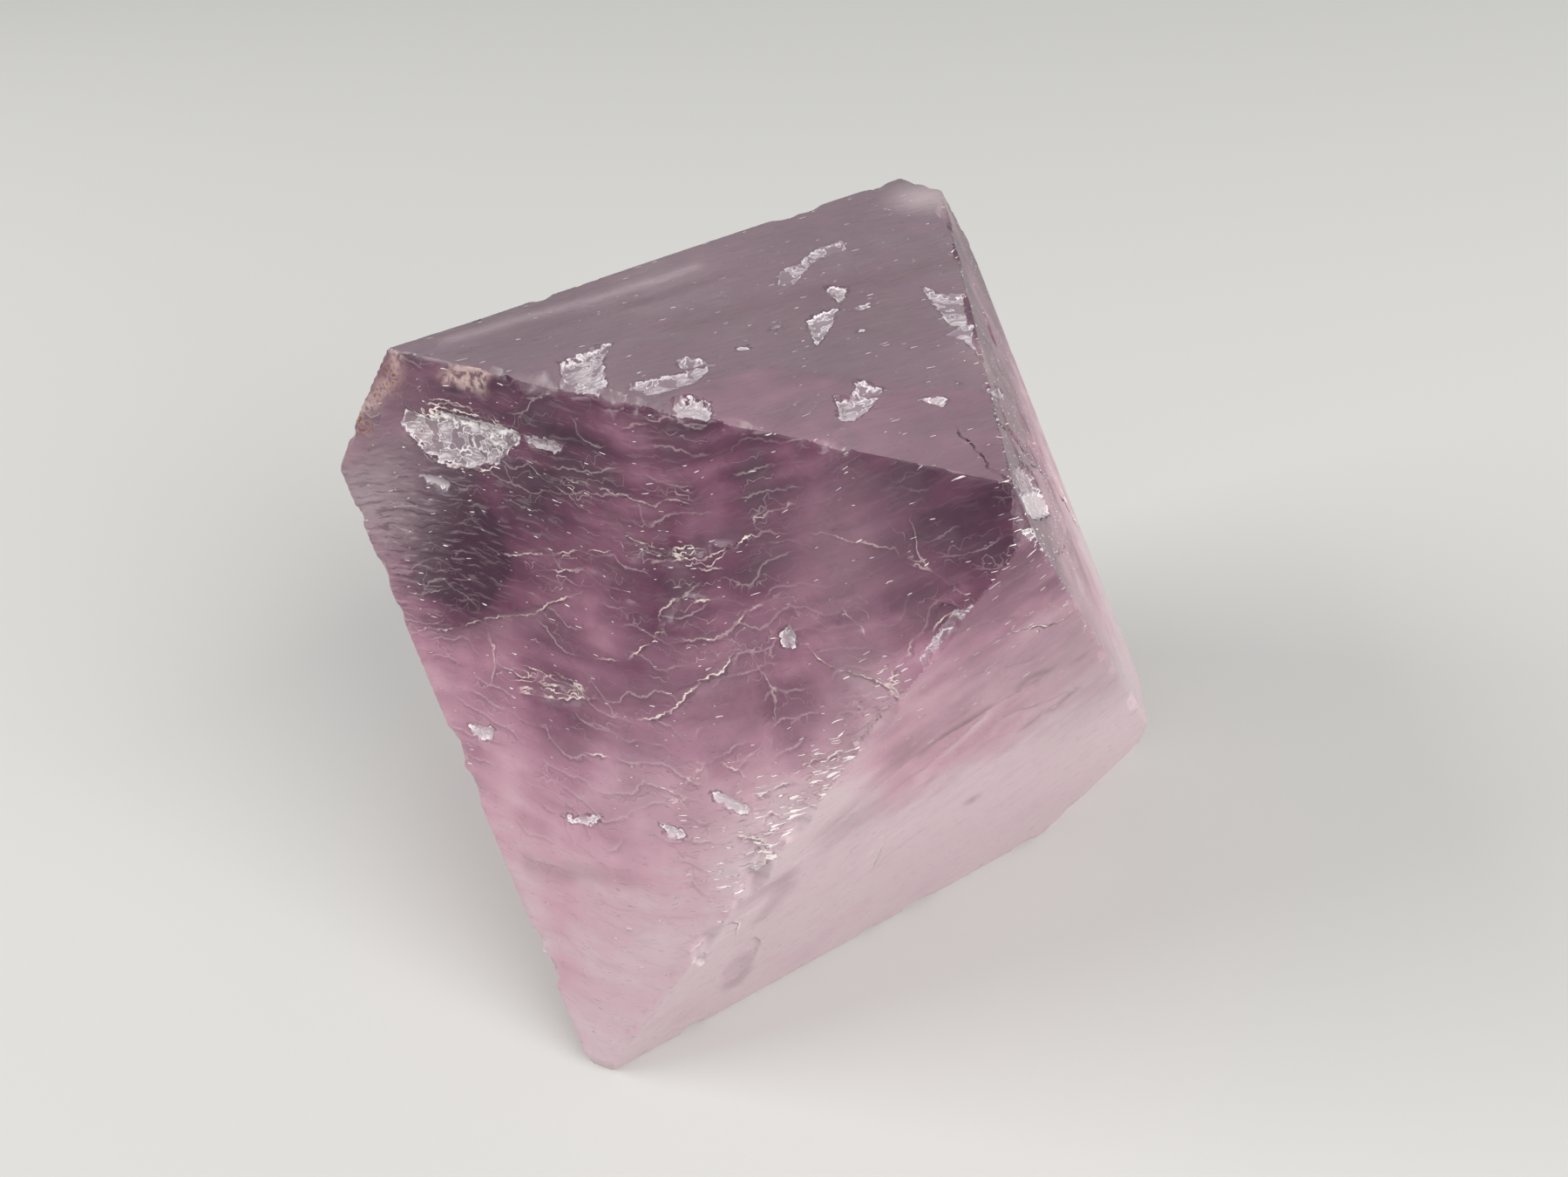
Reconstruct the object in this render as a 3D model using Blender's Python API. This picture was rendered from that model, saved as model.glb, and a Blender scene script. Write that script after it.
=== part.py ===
"""Amethyst double pyramid lying on one of its eight faces. Metres, +Z up.

The crystal is a slightly uneven octahedron: eight main faces, six corners that
are broken off, flake scars and low ledges on the faces and small nicks along
the ridges. It rests on the flat triangular face at z = 0. The front foot
points to -Y and the back top corner to +Y.
"""
import math
import random

import bmesh
import bpy
from mathutils import Matrix, Vector, noise

MM = 0.001
EDGE = 45.0 * MM                        # edge of the even octahedron
RING = EDGE / math.sqrt(3.0)            # corners lie on this radius about Z
RISE = EDGE * math.sqrt(2.0 / 3.0)      # rest face to top face

# corner: (angle about Z in degrees, height)
CORNERS = {
    "front_foot": (-90, 0.0), "right_foot": (30, 0.0), "left_foot": (150, 0.0),
    "near_top": (-30, RISE), "back_top": (90, RISE), "left_top": (210, RISE),
}

# face: (its corners, shift outward in mm, turn about u, turn about v in degrees)
FACES = {
    "rest": (("front_foot", "right_foot", "left_foot"), 0.0, 0.0, 0.0),
    "top": (("left_top", "near_top", "back_top"), 1.5, 0.5, 0.1),
    "main": (("left_top", "front_foot", "near_top"), -0.7, -0.9, 1.2),
    "narrow": (("near_top", "right_foot", "back_top"), -0.1, -0.3, 0.0),
    "skirt": (("front_foot", "right_foot", "near_top"), -0.2, 0.3, 0.3),
    "back": (("back_top", "left_foot", "left_top"), -2.6, 1.0, 0.9),
    "back_skirt": (("right_foot", "left_foot", "back_top"), 0.1, 0.0, -0.1),
    "left_skirt": (("left_foot", "front_foot", "left_top"), 0.6, 0.0, -0.7),
}

# broken corner: distance in mm from the corner along three of its ridges
BREAKS = (
    ("left_top", {"near_top": 5.6, "front_foot": 6.2, "back_top": 4.4}),
    ("back_top", {"left_top": 4.6, "near_top": 7.0, "right_foot": 5.6}),
    ("right_foot", {"front_foot": 12.5, "back_top": 3.4, "near_top": 10.0}),
    ("right_foot", {"front_foot": 4.6, "back_top": 7.0, "near_top": 12.0}),
    ("near_top", {"left_top": 1.6, "front_foot": 2.4, "right_foot": 3.0}),
    ("front_foot", {"left_top": 1.6, "right_foot": 1.0, "near_top": 2.0}),
    ("left_foot", {"front_foot": 3.2, "back_top": 2.4, "left_top": 2.8}),
)

RIDGE_WEAR = 0.22 * MM                  # width of the worn line on every ridge
NICKS_PER_RIDGE = 6


def corner(name):
    """Position of a corner of the even octahedron."""
    turn, height = CORNERS[name]
    angle = math.radians(turn)
    return Vector((RING * math.cos(angle), RING * math.sin(angle), height))


def face_frame(name):
    """Centre, u, v and outward normal of a face; u runs level, v runs upward."""
    names, shift, about_u, about_v = FACES[name]
    centre = sum((corner(n) for n in names), Vector()) / 3.0
    normal = (centre - Vector((0, 0, RISE / 2))).normalized()
    level = name in ("rest", "top")
    u = Vector((1, 0, 0)) if level else Vector((0, 0, 1)).cross(normal).normalized()
    v = normal.cross(u)
    normal = (normal + u * math.radians(about_u) + v * math.radians(about_v)).normalized()
    u = (u - normal * u.dot(normal)).normalized()
    return centre + normal * shift * MM, u, normal.cross(u), normal


def on_face(name):
    """Matrix from (u, v, height above the face) to the crystal."""
    centre, u, v, normal = face_frame(name)
    rows = Matrix((u, v, normal)).transposed().to_4x4()
    return Matrix.Translation(centre) @ rows


def break_plane(name, spans):
    """A point and the outward normal of the plane that takes off a corner."""
    here = corner(name)
    p, q, r = (here + (corner(to) - here).normalized() * d * MM for to, d in spans.items())
    normal = (q - p).cross(r - p).normalized()
    return p, normal if normal.dot(here - p) > 0 else -normal


def cut_away(bm, point, normal):
    """Remove what lies outside a plane and close the opening."""
    geom = bm.verts[:] + bm.edges[:] + bm.faces[:]
    cut = bmesh.ops.bisect_plane(bm, geom=geom, plane_co=point, plane_no=normal,
                                 clear_outer=True)
    rim = [g for g in cut["geom_cut"] if isinstance(g, bmesh.types.BMEdge)]
    if rim:
        bmesh.ops.holes_fill(bm, edges=rim)


def crystal_body():
    """The eight faces and the broken corners, as one closed solid."""
    bm = bmesh.new()
    bmesh.ops.create_cube(bm, size=3 * EDGE)
    for name in FACES:
        centre, _, _, normal = face_frame(name)
        cut_away(bm, centre, normal)
    for name, spans in BREAKS:
        cut_away(bm, *break_plane(name, spans))
    bmesh.ops.dissolve_degenerate(bm, dist=0.02 * MM, edges=bm.edges)
    bmesh.ops.recalc_face_normals(bm, faces=bm.faces)
    return bm


def close_prism(bm, outline, floor, lid):
    """Closed cutter: an outline in (u, v) with a floor height for each point."""
    low = [bm.verts.new((x, y, z)) for (x, y), z in zip(outline, floor)]
    high = [bm.verts.new((x, y, lid)) for x, y in outline]
    count = len(outline)
    bm.faces.new(low[::-1])
    bm.faces.new(high)
    for i in range(count):
        j = (i + 1) % count
        bm.faces.new((low[i], low[j], high[j], high[i]))


def flake(cutters, face, at, size, turn, depth, seed):
    """Angular scar: a floor that slopes from the surface down to a steep wall."""
    rng = random.Random(seed)
    length, width = size[0] * MM, size[1] * MM
    count = rng.choice((6, 7, 8))
    outline, floor = [], []
    for i in range(count):
        angle = 2 * math.pi * (i + rng.uniform(-0.25, 0.25)) / count
        reach = rng.uniform(0.8, 1.15)
        x, y = math.cos(angle) * reach, math.sin(angle) * reach
        outline.append((x * length / 2, y * width / 2))
        floor.append(-depth * MM * (0.5 + 0.5 * x) + 0.02 * MM)
    place_prism(cutters, face, at, turn, outline, floor)


def chip(cutters, face, outline, shallow, deep, fall, seed):
    """Scar with its own outline in (u, v); the flat floor falls towards an angle."""
    rng = random.Random(seed)
    ragged = []
    for (x0, y0), (x1, y1) in zip(outline, outline[1:] + outline[:1]):
        length = math.hypot(x1 - x0, y1 - y0)
        steps = max(1, round(length / 0.9))
        for i in range(steps):
            t, off = i / steps, rng.uniform(-0.09, 0.09) if i else 0.0
            ragged.append((x0 + (x1 - x0) * t + (y0 - y1) / length * off,
                           y0 + (y1 - y0) * t + (x1 - x0) / length * off))
    way = (math.cos(math.radians(fall)), math.sin(math.radians(fall)))
    reach = [x * way[0] + y * way[1] for x, y in ragged]
    low, high = min(reach), max(reach)
    floor = [-MM * (shallow + (deep - shallow) * (r - low) / (high - low)) for r in reach]
    place_prism(cutters, face, (0, 0), 0, [(x * MM, y * MM) for x, y in ragged], floor)


def place_prism(cutters, face, at, turn, outline, floor):
    """Turn a cutter about its own middle and set it on a face."""
    new = bmesh.new()
    close_prism(new, outline, floor, 1.2 * MM)
    bmesh.ops.triangulate(new, faces=[f for f in new.faces if len(f.verts) > 4])
    spin = Matrix.Rotation(math.radians(turn), 4, "Z")
    shift = Matrix.Translation((at[0] * MM, at[1] * MM, 0))
    add_closed(cutters, new, on_face(face) @ shift @ spin)


def add_closed(cutters, new, matrix):
    """Finish one closed cutter and add it to the list."""
    bmesh.ops.transform(new, matrix=matrix, verts=new.verts)
    bmesh.ops.recalc_face_normals(new, faces=new.faces)
    mesh = bpy.data.meshes.new("cutter")
    new.to_mesh(mesh)
    new.free()
    cutters.append(mesh)


def ledge(cutters, face, path, reach, drop, seed):
    """Low step with a ragged wall along a path; the floor climbs away to its left."""
    rng = random.Random(seed)
    wall = []
    for (x0, y0), (x1, y1) in zip(path, path[1:]):
        steps = max(1, round(math.hypot(x1 - x0, y1 - y0) / 1.3))
        side = Vector((y0 - y1, x1 - x0)).normalized()
        for i in range(steps):
            t = i / steps
            off = rng.uniform(-0.22, 0.22)
            wall.append((x0 + (x1 - x0) * t + side.x * off, y0 + (y1 - y0) * t + side.y * off))
    wall.append(path[-1])
    (xa, ya), (xb, yb) = path[0], path[-1]
    side = Vector((ya - yb, xb - xa)).normalized() * reach
    rim = [(x + side.x * 1.05, y + side.y * 1.05) for x, y in wall[1:-1][::-2]]
    outline = [(x * MM, y * MM) for x, y in wall + rim]
    last = len(wall) - 1
    floor = [-drop * MM * min(1.0, 4 * min(i, last - i) / last) for i in range(len(wall))]
    floor += [0.03 * MM] * len(rim)
    floor[0] = floor[last] = 0.03 * MM
    place_prism(cutters, face, (0, 0), 0, outline, floor)


def pebble(cutters, middle, half, bite_from, seed, detail=1):
    """Ragged round cutter, longest along half[0], used for nicks."""
    new = bmesh.new()
    bmesh.ops.create_icosphere(new, subdivisions=detail, radius=1.0)
    for vert in new.verts:
        shake = noise.noise(vert.co * 2.1 + Vector((seed * 7.3, seed * 1.9, 0)))
        vert.co *= 1.0 + 0.22 * shake
    scale = Matrix.Diagonal((half[0], half[1], half[2], 1.0))
    add_closed(cutters, new, Matrix.Translation(middle) @ bite_from @ scale)


def ridge_line(one, two):
    """The real ridge between two corners: a point on it, its direction, outward."""
    sides = [face_frame(f) for f in touching(one, two)]
    (c1, _, _, n1), (c2, _, _, n2) = sides
    along = n1.cross(n2).normalized()
    rows = Matrix((n1, n2, along))
    middle = (corner(one) + corner(two)) / 2
    point = rows.inverted() @ Vector((n1.dot(c1), n2.dot(c2), along.dot(middle)))
    if along.dot(corner(two) - corner(one)) < 0:
        along.negate()
    return point, along, (n1 + n2).normalized()


def nick(cutters, one, two, t, length, bite, seed):
    """Small bite out of a ridge; t runs from 0 at corner one to 1 at corner two."""
    point, along, out = ridge_line(one, two)
    spot = point + along * (t - 0.5) * EDGE
    half = Vector((length / 2, length * 0.32, length * 0.3)) * MM
    side = out.cross(along)
    axes = Matrix((along, side, out)).transposed().to_4x4()
    tip = Matrix.Rotation(math.radians(random.Random(seed).uniform(-35, 35)), 4, "X")
    pebble(cutters, spot + out * (half.z - bite * MM), half, axes @ tip, seed)


def touching(*names):
    """Names of the faces that have all of these corners."""
    return [f for f, spec in FACES.items() if all(n in spec[0] for n in names)]


def hackly_corner(cutters, name, spans, rng):
    """Small bites along the rim of a broken corner and on the break itself."""
    point, normal = break_plane(name, spans)
    rim = {}
    for other in CORNERS:
        if other != name and len(touching(name, other)) == 2:
            on, along, _ = ridge_line(name, other)
            rim[other] = on + along * ((point - on).dot(normal) / along.dot(normal))
    for one, two in [(a, b) for a in rim for b in rim if a < b]:
        long_enough = (rim[two] - rim[one]).length > 2.5 * MM
        for face in touching(name, one, two) if long_enough else ():
            out = (face_frame(face)[3] + normal).normalized()
            along = (rim[two] - rim[one]).normalized()
            axes = Matrix((along, out.cross(along), out)).transposed().to_4x4()
            for t in (rng.uniform(0.1, 0.45), rng.uniform(0.55, 0.9)):
                size = min(rng.uniform(1.6, 3.0), (rim[two] - rim[one]).length / MM * 0.6)
                half = Vector((size / 2, size * 0.32, size * 0.3)) * MM
                spot = rim[one].lerp(rim[two], t)
                bite = size * rng.uniform(0.10, 0.17) * MM
                pebble(cutters, spot + out * (half.z - bite), half, axes, rng.uniform(1, 99))


def corner_wear(cutters):
    """Rough rims on the larger broken corners."""
    rng = random.Random(29)
    for name, spans in BREAKS:
        if name != "near_top":
            hackly_corner(cutters, name, spans, rng)


def main_face_scars(cutters):
    """Large frosted scar by the left top, stepped crack lines and small flakes."""
    chip(cutters, "main", [(-15.7, 11.0), (-15.3, 11.9), (-13.9, 11.7), (-12.7, 12.3),
                           (-9.4, 12.2), (-7.3, 12.1), (-7.0, 11.7), (-8.1, 10.8), (-8.7, 10.1),
                           (-10.2, 9.7), (-10.9, 9.4), (-12.9, 9.4), (-14.4, 10.1)],
         0.12, 0.55, -60, 3)
    chip(cutters, "main", [(-12.0, 10.9), (-9.4, 11.9), (-7.5, 11.5), (-8.6, 10.3), (-10.6, 9.8)],
         0.35, 0.80, -80, 5)
    chip(cutters, "main", [(-7.2, 11.8), (-6.0, 11.5), (-4.4, 11.4), (-4.1, 11.9), (-5.2, 12.1)],
         0.10, 0.30, 0, 9)
    chip(cutters, "main", [(-14.5, 8.5), (-12.7, 8.5), (-11.9, 8.3), (-12.4, 7.9), (-14.0, 8.1)],
         0.08, 0.28, 0, 10)
    ledge(cutters, "main", [(-15.6, -1.2), (-12.0, -0.4), (-8.5, 1.3), (-2.9, 3.9)], -3.6, 0.16, 21)
    ledge(cutters, "main", [(2.5, 8.1), (4.8, 7.7), (8.8, 10.1)], 3.2, 0.18, 22)
    ledge(cutters, "main", [(-2.6, 9.6), (0.0, 8.3), (2.6, 7.9)], -2.6, 0.12, 23)
    ledge(cutters, "main", [(2.1, 2.3), (4.1, 5.2), (6.5, 6.2)], 2.8, 0.16, 24)
    ledge(cutters, "main", [(2.3, -1.4), (5.2, 1.1), (7.7, 3.7)], -2.6, 0.18, 25)
    ledge(cutters, "main", [(-6.6, -2.4), (-4.0, -1.4), (-1.6, -2.2)], -2.4, 0.18, 26)
    ledge(cutters, "main", [(10.6, 4.9), (12.6, 3.9), (16.0, 2.6), (17.0, 0.9)], 3.0, 0.20, 27)
    ledge(cutters, "main", [(-3.4, 6.2), (0.4, 4.4), (1.8, 4.2)], 2.0, 0.12, 28)
    ledge(cutters, "main", [(-10.1, 8.0), (-6.7, 7.9), (-3.7, 7.6)], -2.2, 0.10, 29)
    ledge(cutters, "main", [(11.3, 6.6), (13.3, 6.4), (16.4, 5.4)], 1.6, 0.12, 30)
    ledge(cutters, "main", [(-6.4, -8.7), (-3.1, -8.9), (0.4, -8.6)], -2.4, 0.12, 40)
    ledge(cutters, "main", [(5.7, -1.4), (5.4, -3.2), (6.4, -4.6)], 1.8, 0.14, 54)
    ledge(cutters, "main", [(9.0, -6.6), (12.2, -3.9), (14.6, -1.0)], 2.2, 0.20, 55)
    chip(cutters, "main", [(-10.7, -6.0), (-8.7, -5.7), (-8.9, -6.5), (-10.0, -6.8)],
         0.06, 0.35, -30, 31)
    chip(cutters, "main", [(6.3, -4.9), (7.1, -4.8), (8.9, -5.0), (8.7, -5.5), (7.8, -5.7), (6.8, -5.4)],
         0.06, 0.40, -70, 32)
    chip(cutters, "main", [(3.2, -7.9), (4.9, -7.8), (5.0, -8.2), (3.8, -8.5)], 0.06, 0.32, -90, 33)
    chip(cutters, "main", [(-3.6, -9.7), (-2.1, -9.3), (-0.7, -8.7), (-1.3, -9.5), (-2.8, -9.9)],
         0.05, 0.26, -60, 34)
    chip(cutters, "main", [(9.8, 5.0), (10.3, 5.4), (10.8, 5.0), (10.7, 4.4), (10.1, 4.3)],
         0.10, 0.40, 120, 35)
    flake(cutters, "main", (18.2, 7.0), (4.4, 1.5), 62, 0.45, 36)
    flake(cutters, "main", (14.6, -1.6), (3.6, 1.8), 50, 0.50, 37)
    flake(cutters, "main", (11.4, -5.0), (3.2, 1.7), 40, 0.45, 38)
    flake(cutters, "main", (9.0, -8.0), (2.6, 1.2), 62, 0.35, 39)


def top_face_scars(cutters):
    """Flat-bottomed flakes on the top face, most of them near its ridges."""
    chip(cutters, "top", [(-6.1, -9.0), (-5.5, -8.1), (-5.4, -7.1), (-4.6, -6.2), (-3.9, -8.2),
                          (-2.0, -10.4), (-2.1, -11.6), (-4.1, -12.4), (-5.0, -10.2)],
         0.10, 0.60, 200, 41)
    chip(cutters, "top", [(-0.8, -10.3), (-0.8, -9.6), (0.2, -8.8), (1.6, -7.2), (2.2, -6.6),
                          (2.3, -8.6), (1.5, -9.7), (0.7, -10.5)], 0.05, 0.30, 250, 42)
    chip(cutters, "top", [(2.2, -10.3), (2.8, -9.8), (4.1, -10.1), (4.8, -11.1), (5.3, -12.3),
                          (3.0, -11.9)], 0.20, 0.60, 100, 43)
    chip(cutters, "top", [(-0.1, -6.7), (0.4, -6.2), (1.8, -6.5), (1.3, -7.3), (0.7, -7.5)],
         0.06, 0.28, 180, 44)
    chip(cutters, "top", [(4.4, -0.4), (4.6, 0.6), (5.3, 1.3), (5.9, -0.3), (6.4, -3.0),
                          (5.8, -2.2), (5.2, -1.6)], 0.08, 0.42, 200, 45)
    chip(cutters, "top", [(3.3, 3.5), (3.6, 3.8), (4.7, 3.8), (5.2, 1.9), (4.1, 2.8)],
         0.06, 0.30, 160, 46)
    chip(cutters, "top", [(-0.2, 4.3), (0.3, 6.3), (0.3, 8.1), (1.2, 9.8), (2.1, 8.4), (1.4, 7.9),
                          (1.0, 6.2), (1.4, 3.2), (0.6, 3.0)], 0.05, 0.35, 0, 47)
    chip(cutters, "top", [(10.0, -5.5), (11.7, -6.0), (11.8, -6.6), (10.7, -7.3), (10.5, -6.4)],
         0.08, 0.40, 270, 48)
    chip(cutters, "top", [(9.7, -7.3), (10.6, -7.2), (11.9, -6.9), (12.0, -7.9), (11.7, -9.3),
                          (11.2, -9.4), (10.4, -8.2)], 0.12, 0.50, 180, 56)
    chip(cutters, "top", [(13.9, -6.3), (14.6, -5.6), (15.2, -6.0), (15.2, -6.6)],
         0.08, 0.32, 0, 49)
    chip(cutters, "top", [(8.6, 5.2), (10.0, 4.7), (11.7, 5.3), (12.4, 5.0), (13.6, 2.8),
                          (12.8, 1.6), (12.1, 1.4), (10.4, 3.2)], 0.06, 0.45, 20, 50)
    chip(cutters, "top", [(12.3, 0.3), (12.8, 1.8), (14.6, 1.6), (16.2, -0.9), (15.2, -1.5),
                          (13.4, 0.1)], 0.06, 0.42, 20, 51)
    ledge(cutters, "top", [(-16.0, -9.2), (-11.5, -3.6), (-7.5, 3.0)], 2.6, 0.12, 52)
    ledge(cutters, "top", [(2.0, 9.0), (4.2, 5.4), (8.0, 3.4)], 3.2, 0.10, 53)


def side_scars(cutters):
    """Long low ledges on the overhanging front face, flakes on the narrow face."""
    ledge(cutters, "skirt", [(-11.3, 3.1), (-7.0, 6.4), (-2.8, 9.3), (5.5, 10.7)], -3.0, 0.22, 61)
    ledge(cutters, "skirt", [(1.3, 8.7), (5.0, 7.6), (8.4, 6.9)], -2.6, 0.16, 62)
    ledge(cutters, "skirt", [(-5.6, 6.2), (-2.2, 6.6), (0.8, 8.2)], -2.0, 0.14, 63)
    ledge(cutters, "skirt", [(-16.4, -3.2), (-12.0, 0.4), (-9.0, 1.6)], 2.6, 0.16, 64)
    ledge(cutters, "skirt", [(0.6, 14.6), (2.6, 13.4), (4.4, 13.2)], -2.0, 0.12, 65)
    ledge(cutters, "skirt", [(-6.9, -2.0), (-4.3, 1.0), (-1.0, 2.6)], -2.4, 0.12, 68)
    ledge(cutters, "skirt", [(-3.6, 20.0), (-0.6, 19.4), (2.2, 17.8)], -1.8, 0.12, 69)
    chip(cutters, "skirt", [(-16.6, -1.6), (-16.0, -0.9), (-15.4, -3.2), (-15.8, -4.0)],
         0.05, 0.30, 200, 66)
    chip(cutters, "skirt", [(-14.5, -6.6), (-13.1, -4.1), (-12.3, -3.8), (-11.8, -5.3),
                            (-12.6, -8.8), (-14.1, -8.4)], 0.05, 0.34, 140, 67)
    chip(cutters, "narrow", [(-12.2, 14.6), (-6.0, 10.9), (-5.6, 10.0), (-11.7, 13.7)],
         0.10, 0.35, 90, 71)
    chip(cutters, "narrow", [(-18.4, 13.6), (-12.1, 9.8), (-8.7, 7.0), (-9.0, 5.9), (-14.7, 9.6),
                             (-18.7, 12.6)], 0.08, 0.40, 40, 72)
    chip(cutters, "narrow", [(-19.4, 13.2), (-14.7, 9.8), (-9.0, 5.9), (-8.7, 4.0),
                             (-16.0, 9.0), (-20.0, 12.2)], 0.20, 0.60, 200, 73)
    ledge(cutters, "narrow", [(-11.0, 14.0), (-13.6, 10.6), (-13.9, 6.4)], 2.6, 0.35, 74)
    ledge(cutters, "narrow", [(-3.4, 7.6), (-1.1, 4.5), (-1.6, -1.0)], 3.0, 0.30, 75)
    flake(cutters, "narrow", (4.6, 9.0), (4.0, 2.2), 20, 0.40, 76)


def far_side_scars(cutters):
    """The faces turned away carry the same kinds of scars."""
    rng = random.Random(90)
    for face in ("back", "back_skirt", "left_skirt"):
        for _ in range(6):
            at = (rng.uniform(-9.0, 9.0), rng.uniform(-5.0, 6.0))
            size = (rng.uniform(2.2, 5.6), rng.uniform(1.0, 2.6))
            flake(cutters, face, at, size, rng.uniform(0, 360), rng.uniform(0.25, 0.5),
                  rng.random())
        for k in range(4):
            v = -6.0 + 4.2 * k
            path = [(-7.0 + 2 * k, v), (-2.0, v + 1.6), (5.0 - k, v + 1.0)]
            ledge(cutters, face, path, -2.8, rng.uniform(0.12, 0.24), rng.random())


def ridge_nicks(cutters):
    """Wear along every ridge, with larger bites where the ridge is battered."""
    ridges = [(a, b) for i, a in enumerate(CORNERS) for b in list(CORNERS)[i + 1:]
              if len(touching(a, b)) == 2]
    rng = random.Random(17)
    for one, two in ridges:
        for _ in range(NICKS_PER_RIDGE):
            nick(cutters, one, two, rng.uniform(0.12, 0.88), rng.uniform(1.2, 3.2),
                 rng.uniform(0.30, 0.55), rng.uniform(1, 99))
    for t, length, bite in ((0.30, 4.0, 0.8), (0.47, 3.0, 0.7), (0.58, 4.6, 1.0), (0.70, 3.2, 0.8)):
        nick(cutters, "near_top", "front_foot", t, length, bite, t * 50)
    for t, length, bite in ((0.36, 4.8, 0.9), (0.47, 3.4, 0.7), (0.56, 3.6, 0.8)):
        nick(cutters, "left_top", "near_top", t, length, bite, t * 60)
    for t, length, bite in ((0.26, 4.2, 0.8), (0.40, 3.2, 0.6), (0.12, 3.6, 0.8)):
        nick(cutters, "back_top", "near_top", t, length, bite, t * 70)
    nick(cutters, "left_top", "front_foot", 0.52, 2.8, 0.7, 11)
    nick(cutters, "left_top", "front_foot", 0.84, 2.4, 0.7, 12)


def carve(crystal, fills):
    """Take every closed cutter of the groups out of the crystal, one by one."""
    cutters = []
    for fill in fills:
        fill(cutters)
    bpy.context.view_layer.objects.active = crystal
    for mesh in cutters:
        tool = bpy.data.objects.new("cutter", mesh)
        bpy.context.collection.objects.link(tool)
        mod = crystal.modifiers.new("carve", "BOOLEAN")
        mod.operation = "DIFFERENCE"
        mod.solver = "EXACT"
        mod.object = tool
        bpy.ops.object.modifier_apply(modifier=mod.name)
        bpy.data.objects.remove(tool)


def amethyst_material():
    """Pale purple clear quartz."""
    mat = bpy.data.materials.new("amethyst")
    mat.use_nodes = True
    shader = mat.node_tree.nodes["Principled BSDF"]
    shader.inputs["Base Color"].default_value = (0.42, 0.22, 0.45, 1.0)
    shader.inputs["Roughness"].default_value = 0.25
    shader.inputs["IOR"].default_value = 1.544
    shader.inputs["Transmission Weight"].default_value = 0.7
    return mat


def build():
    """Body, worn ridges, scars and nicks; then the box bottom centre to the origin."""
    for old in list(bpy.data.objects):
        bpy.data.objects.remove(old)
    bm = crystal_body()
    bmesh.ops.bevel(bm, geom=bm.edges[:], offset=RIDGE_WEAR, segments=1, affect="EDGES",
                    clamp_overlap=True)
    mesh = bpy.data.meshes.new("amethyst_crystal")
    bm.to_mesh(mesh)
    bm.free()
    crystal = bpy.data.objects.new("amethyst_crystal", mesh)
    bpy.context.collection.objects.link(crystal)
    carve(crystal, (main_face_scars, top_face_scars, side_scars, far_side_scars,
                    ridge_nicks, corner_wear))
    finish_mesh(crystal.data)
    crystal.data.materials.clear()
    crystal.data.materials.append(amethyst_material())


def finish_mesh(mesh):
    """Flat facets, outward, with the origin at the bottom centre of the box."""
    bm = bmesh.new()
    bm.from_mesh(mesh)
    bmesh.ops.remove_doubles(bm, verts=bm.verts, dist=0.002 * MM)
    bmesh.ops.dissolve_limit(bm, angle_limit=math.radians(0.15), verts=bm.verts,
                             edges=bm.edges)
    bmesh.ops.triangulate(bm, faces=bm.faces)
    low = Vector(min(v.co[i] for v in bm.verts) for i in range(3))
    high = Vector(max(v.co[i] for v in bm.verts) for i in range(3))
    shift = -Vector(((low.x + high.x) / 2, (low.y + high.y) / 2, low.z))
    bmesh.ops.translate(bm, verts=bm.verts, vec=shift)
    bmesh.ops.recalc_face_normals(bm, faces=bm.faces)
    bm.to_mesh(mesh)
    bm.free()
    mesh.shade_flat()


build()
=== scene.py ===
import math

import bpy
import numpy as np
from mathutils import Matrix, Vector, noise


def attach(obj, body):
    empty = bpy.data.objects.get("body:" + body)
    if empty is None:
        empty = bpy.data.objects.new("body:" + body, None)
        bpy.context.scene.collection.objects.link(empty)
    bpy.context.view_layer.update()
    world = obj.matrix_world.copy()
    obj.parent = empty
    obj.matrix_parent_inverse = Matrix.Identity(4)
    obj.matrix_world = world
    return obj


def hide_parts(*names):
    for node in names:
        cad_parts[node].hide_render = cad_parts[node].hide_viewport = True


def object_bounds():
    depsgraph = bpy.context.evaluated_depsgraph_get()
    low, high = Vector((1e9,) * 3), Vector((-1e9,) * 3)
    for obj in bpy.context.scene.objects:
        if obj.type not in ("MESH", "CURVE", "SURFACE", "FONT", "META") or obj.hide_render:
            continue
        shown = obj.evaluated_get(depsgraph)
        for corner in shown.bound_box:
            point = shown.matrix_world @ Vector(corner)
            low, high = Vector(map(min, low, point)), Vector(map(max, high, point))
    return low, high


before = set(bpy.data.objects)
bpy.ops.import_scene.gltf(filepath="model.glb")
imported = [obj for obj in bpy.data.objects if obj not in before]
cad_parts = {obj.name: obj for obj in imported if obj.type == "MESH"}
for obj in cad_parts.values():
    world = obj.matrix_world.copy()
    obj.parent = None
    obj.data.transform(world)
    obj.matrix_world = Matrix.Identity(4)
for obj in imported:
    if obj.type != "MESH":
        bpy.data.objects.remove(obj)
cad_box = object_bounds()

# ---------------------------------------------------------------------------
# Camera: a telephone's main lens, about nine centimetres from the crystal and
# looking down on it past its near corner, a little rolled.
bpy.ops.object.select_all(action="DESELECT")
bpy.ops.object.camera_add(
    location=(0.04111, -0.06014, 0.07194),
    rotation=(math.radians(53.663), math.radians(6.239), math.radians(29.751)))
camera = bpy.context.object
camera.data.sensor_width = 36.0
camera.data.lens = 32.466
camera.data.clip_start = 0.001
bpy.context.scene.camera = camera


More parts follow.
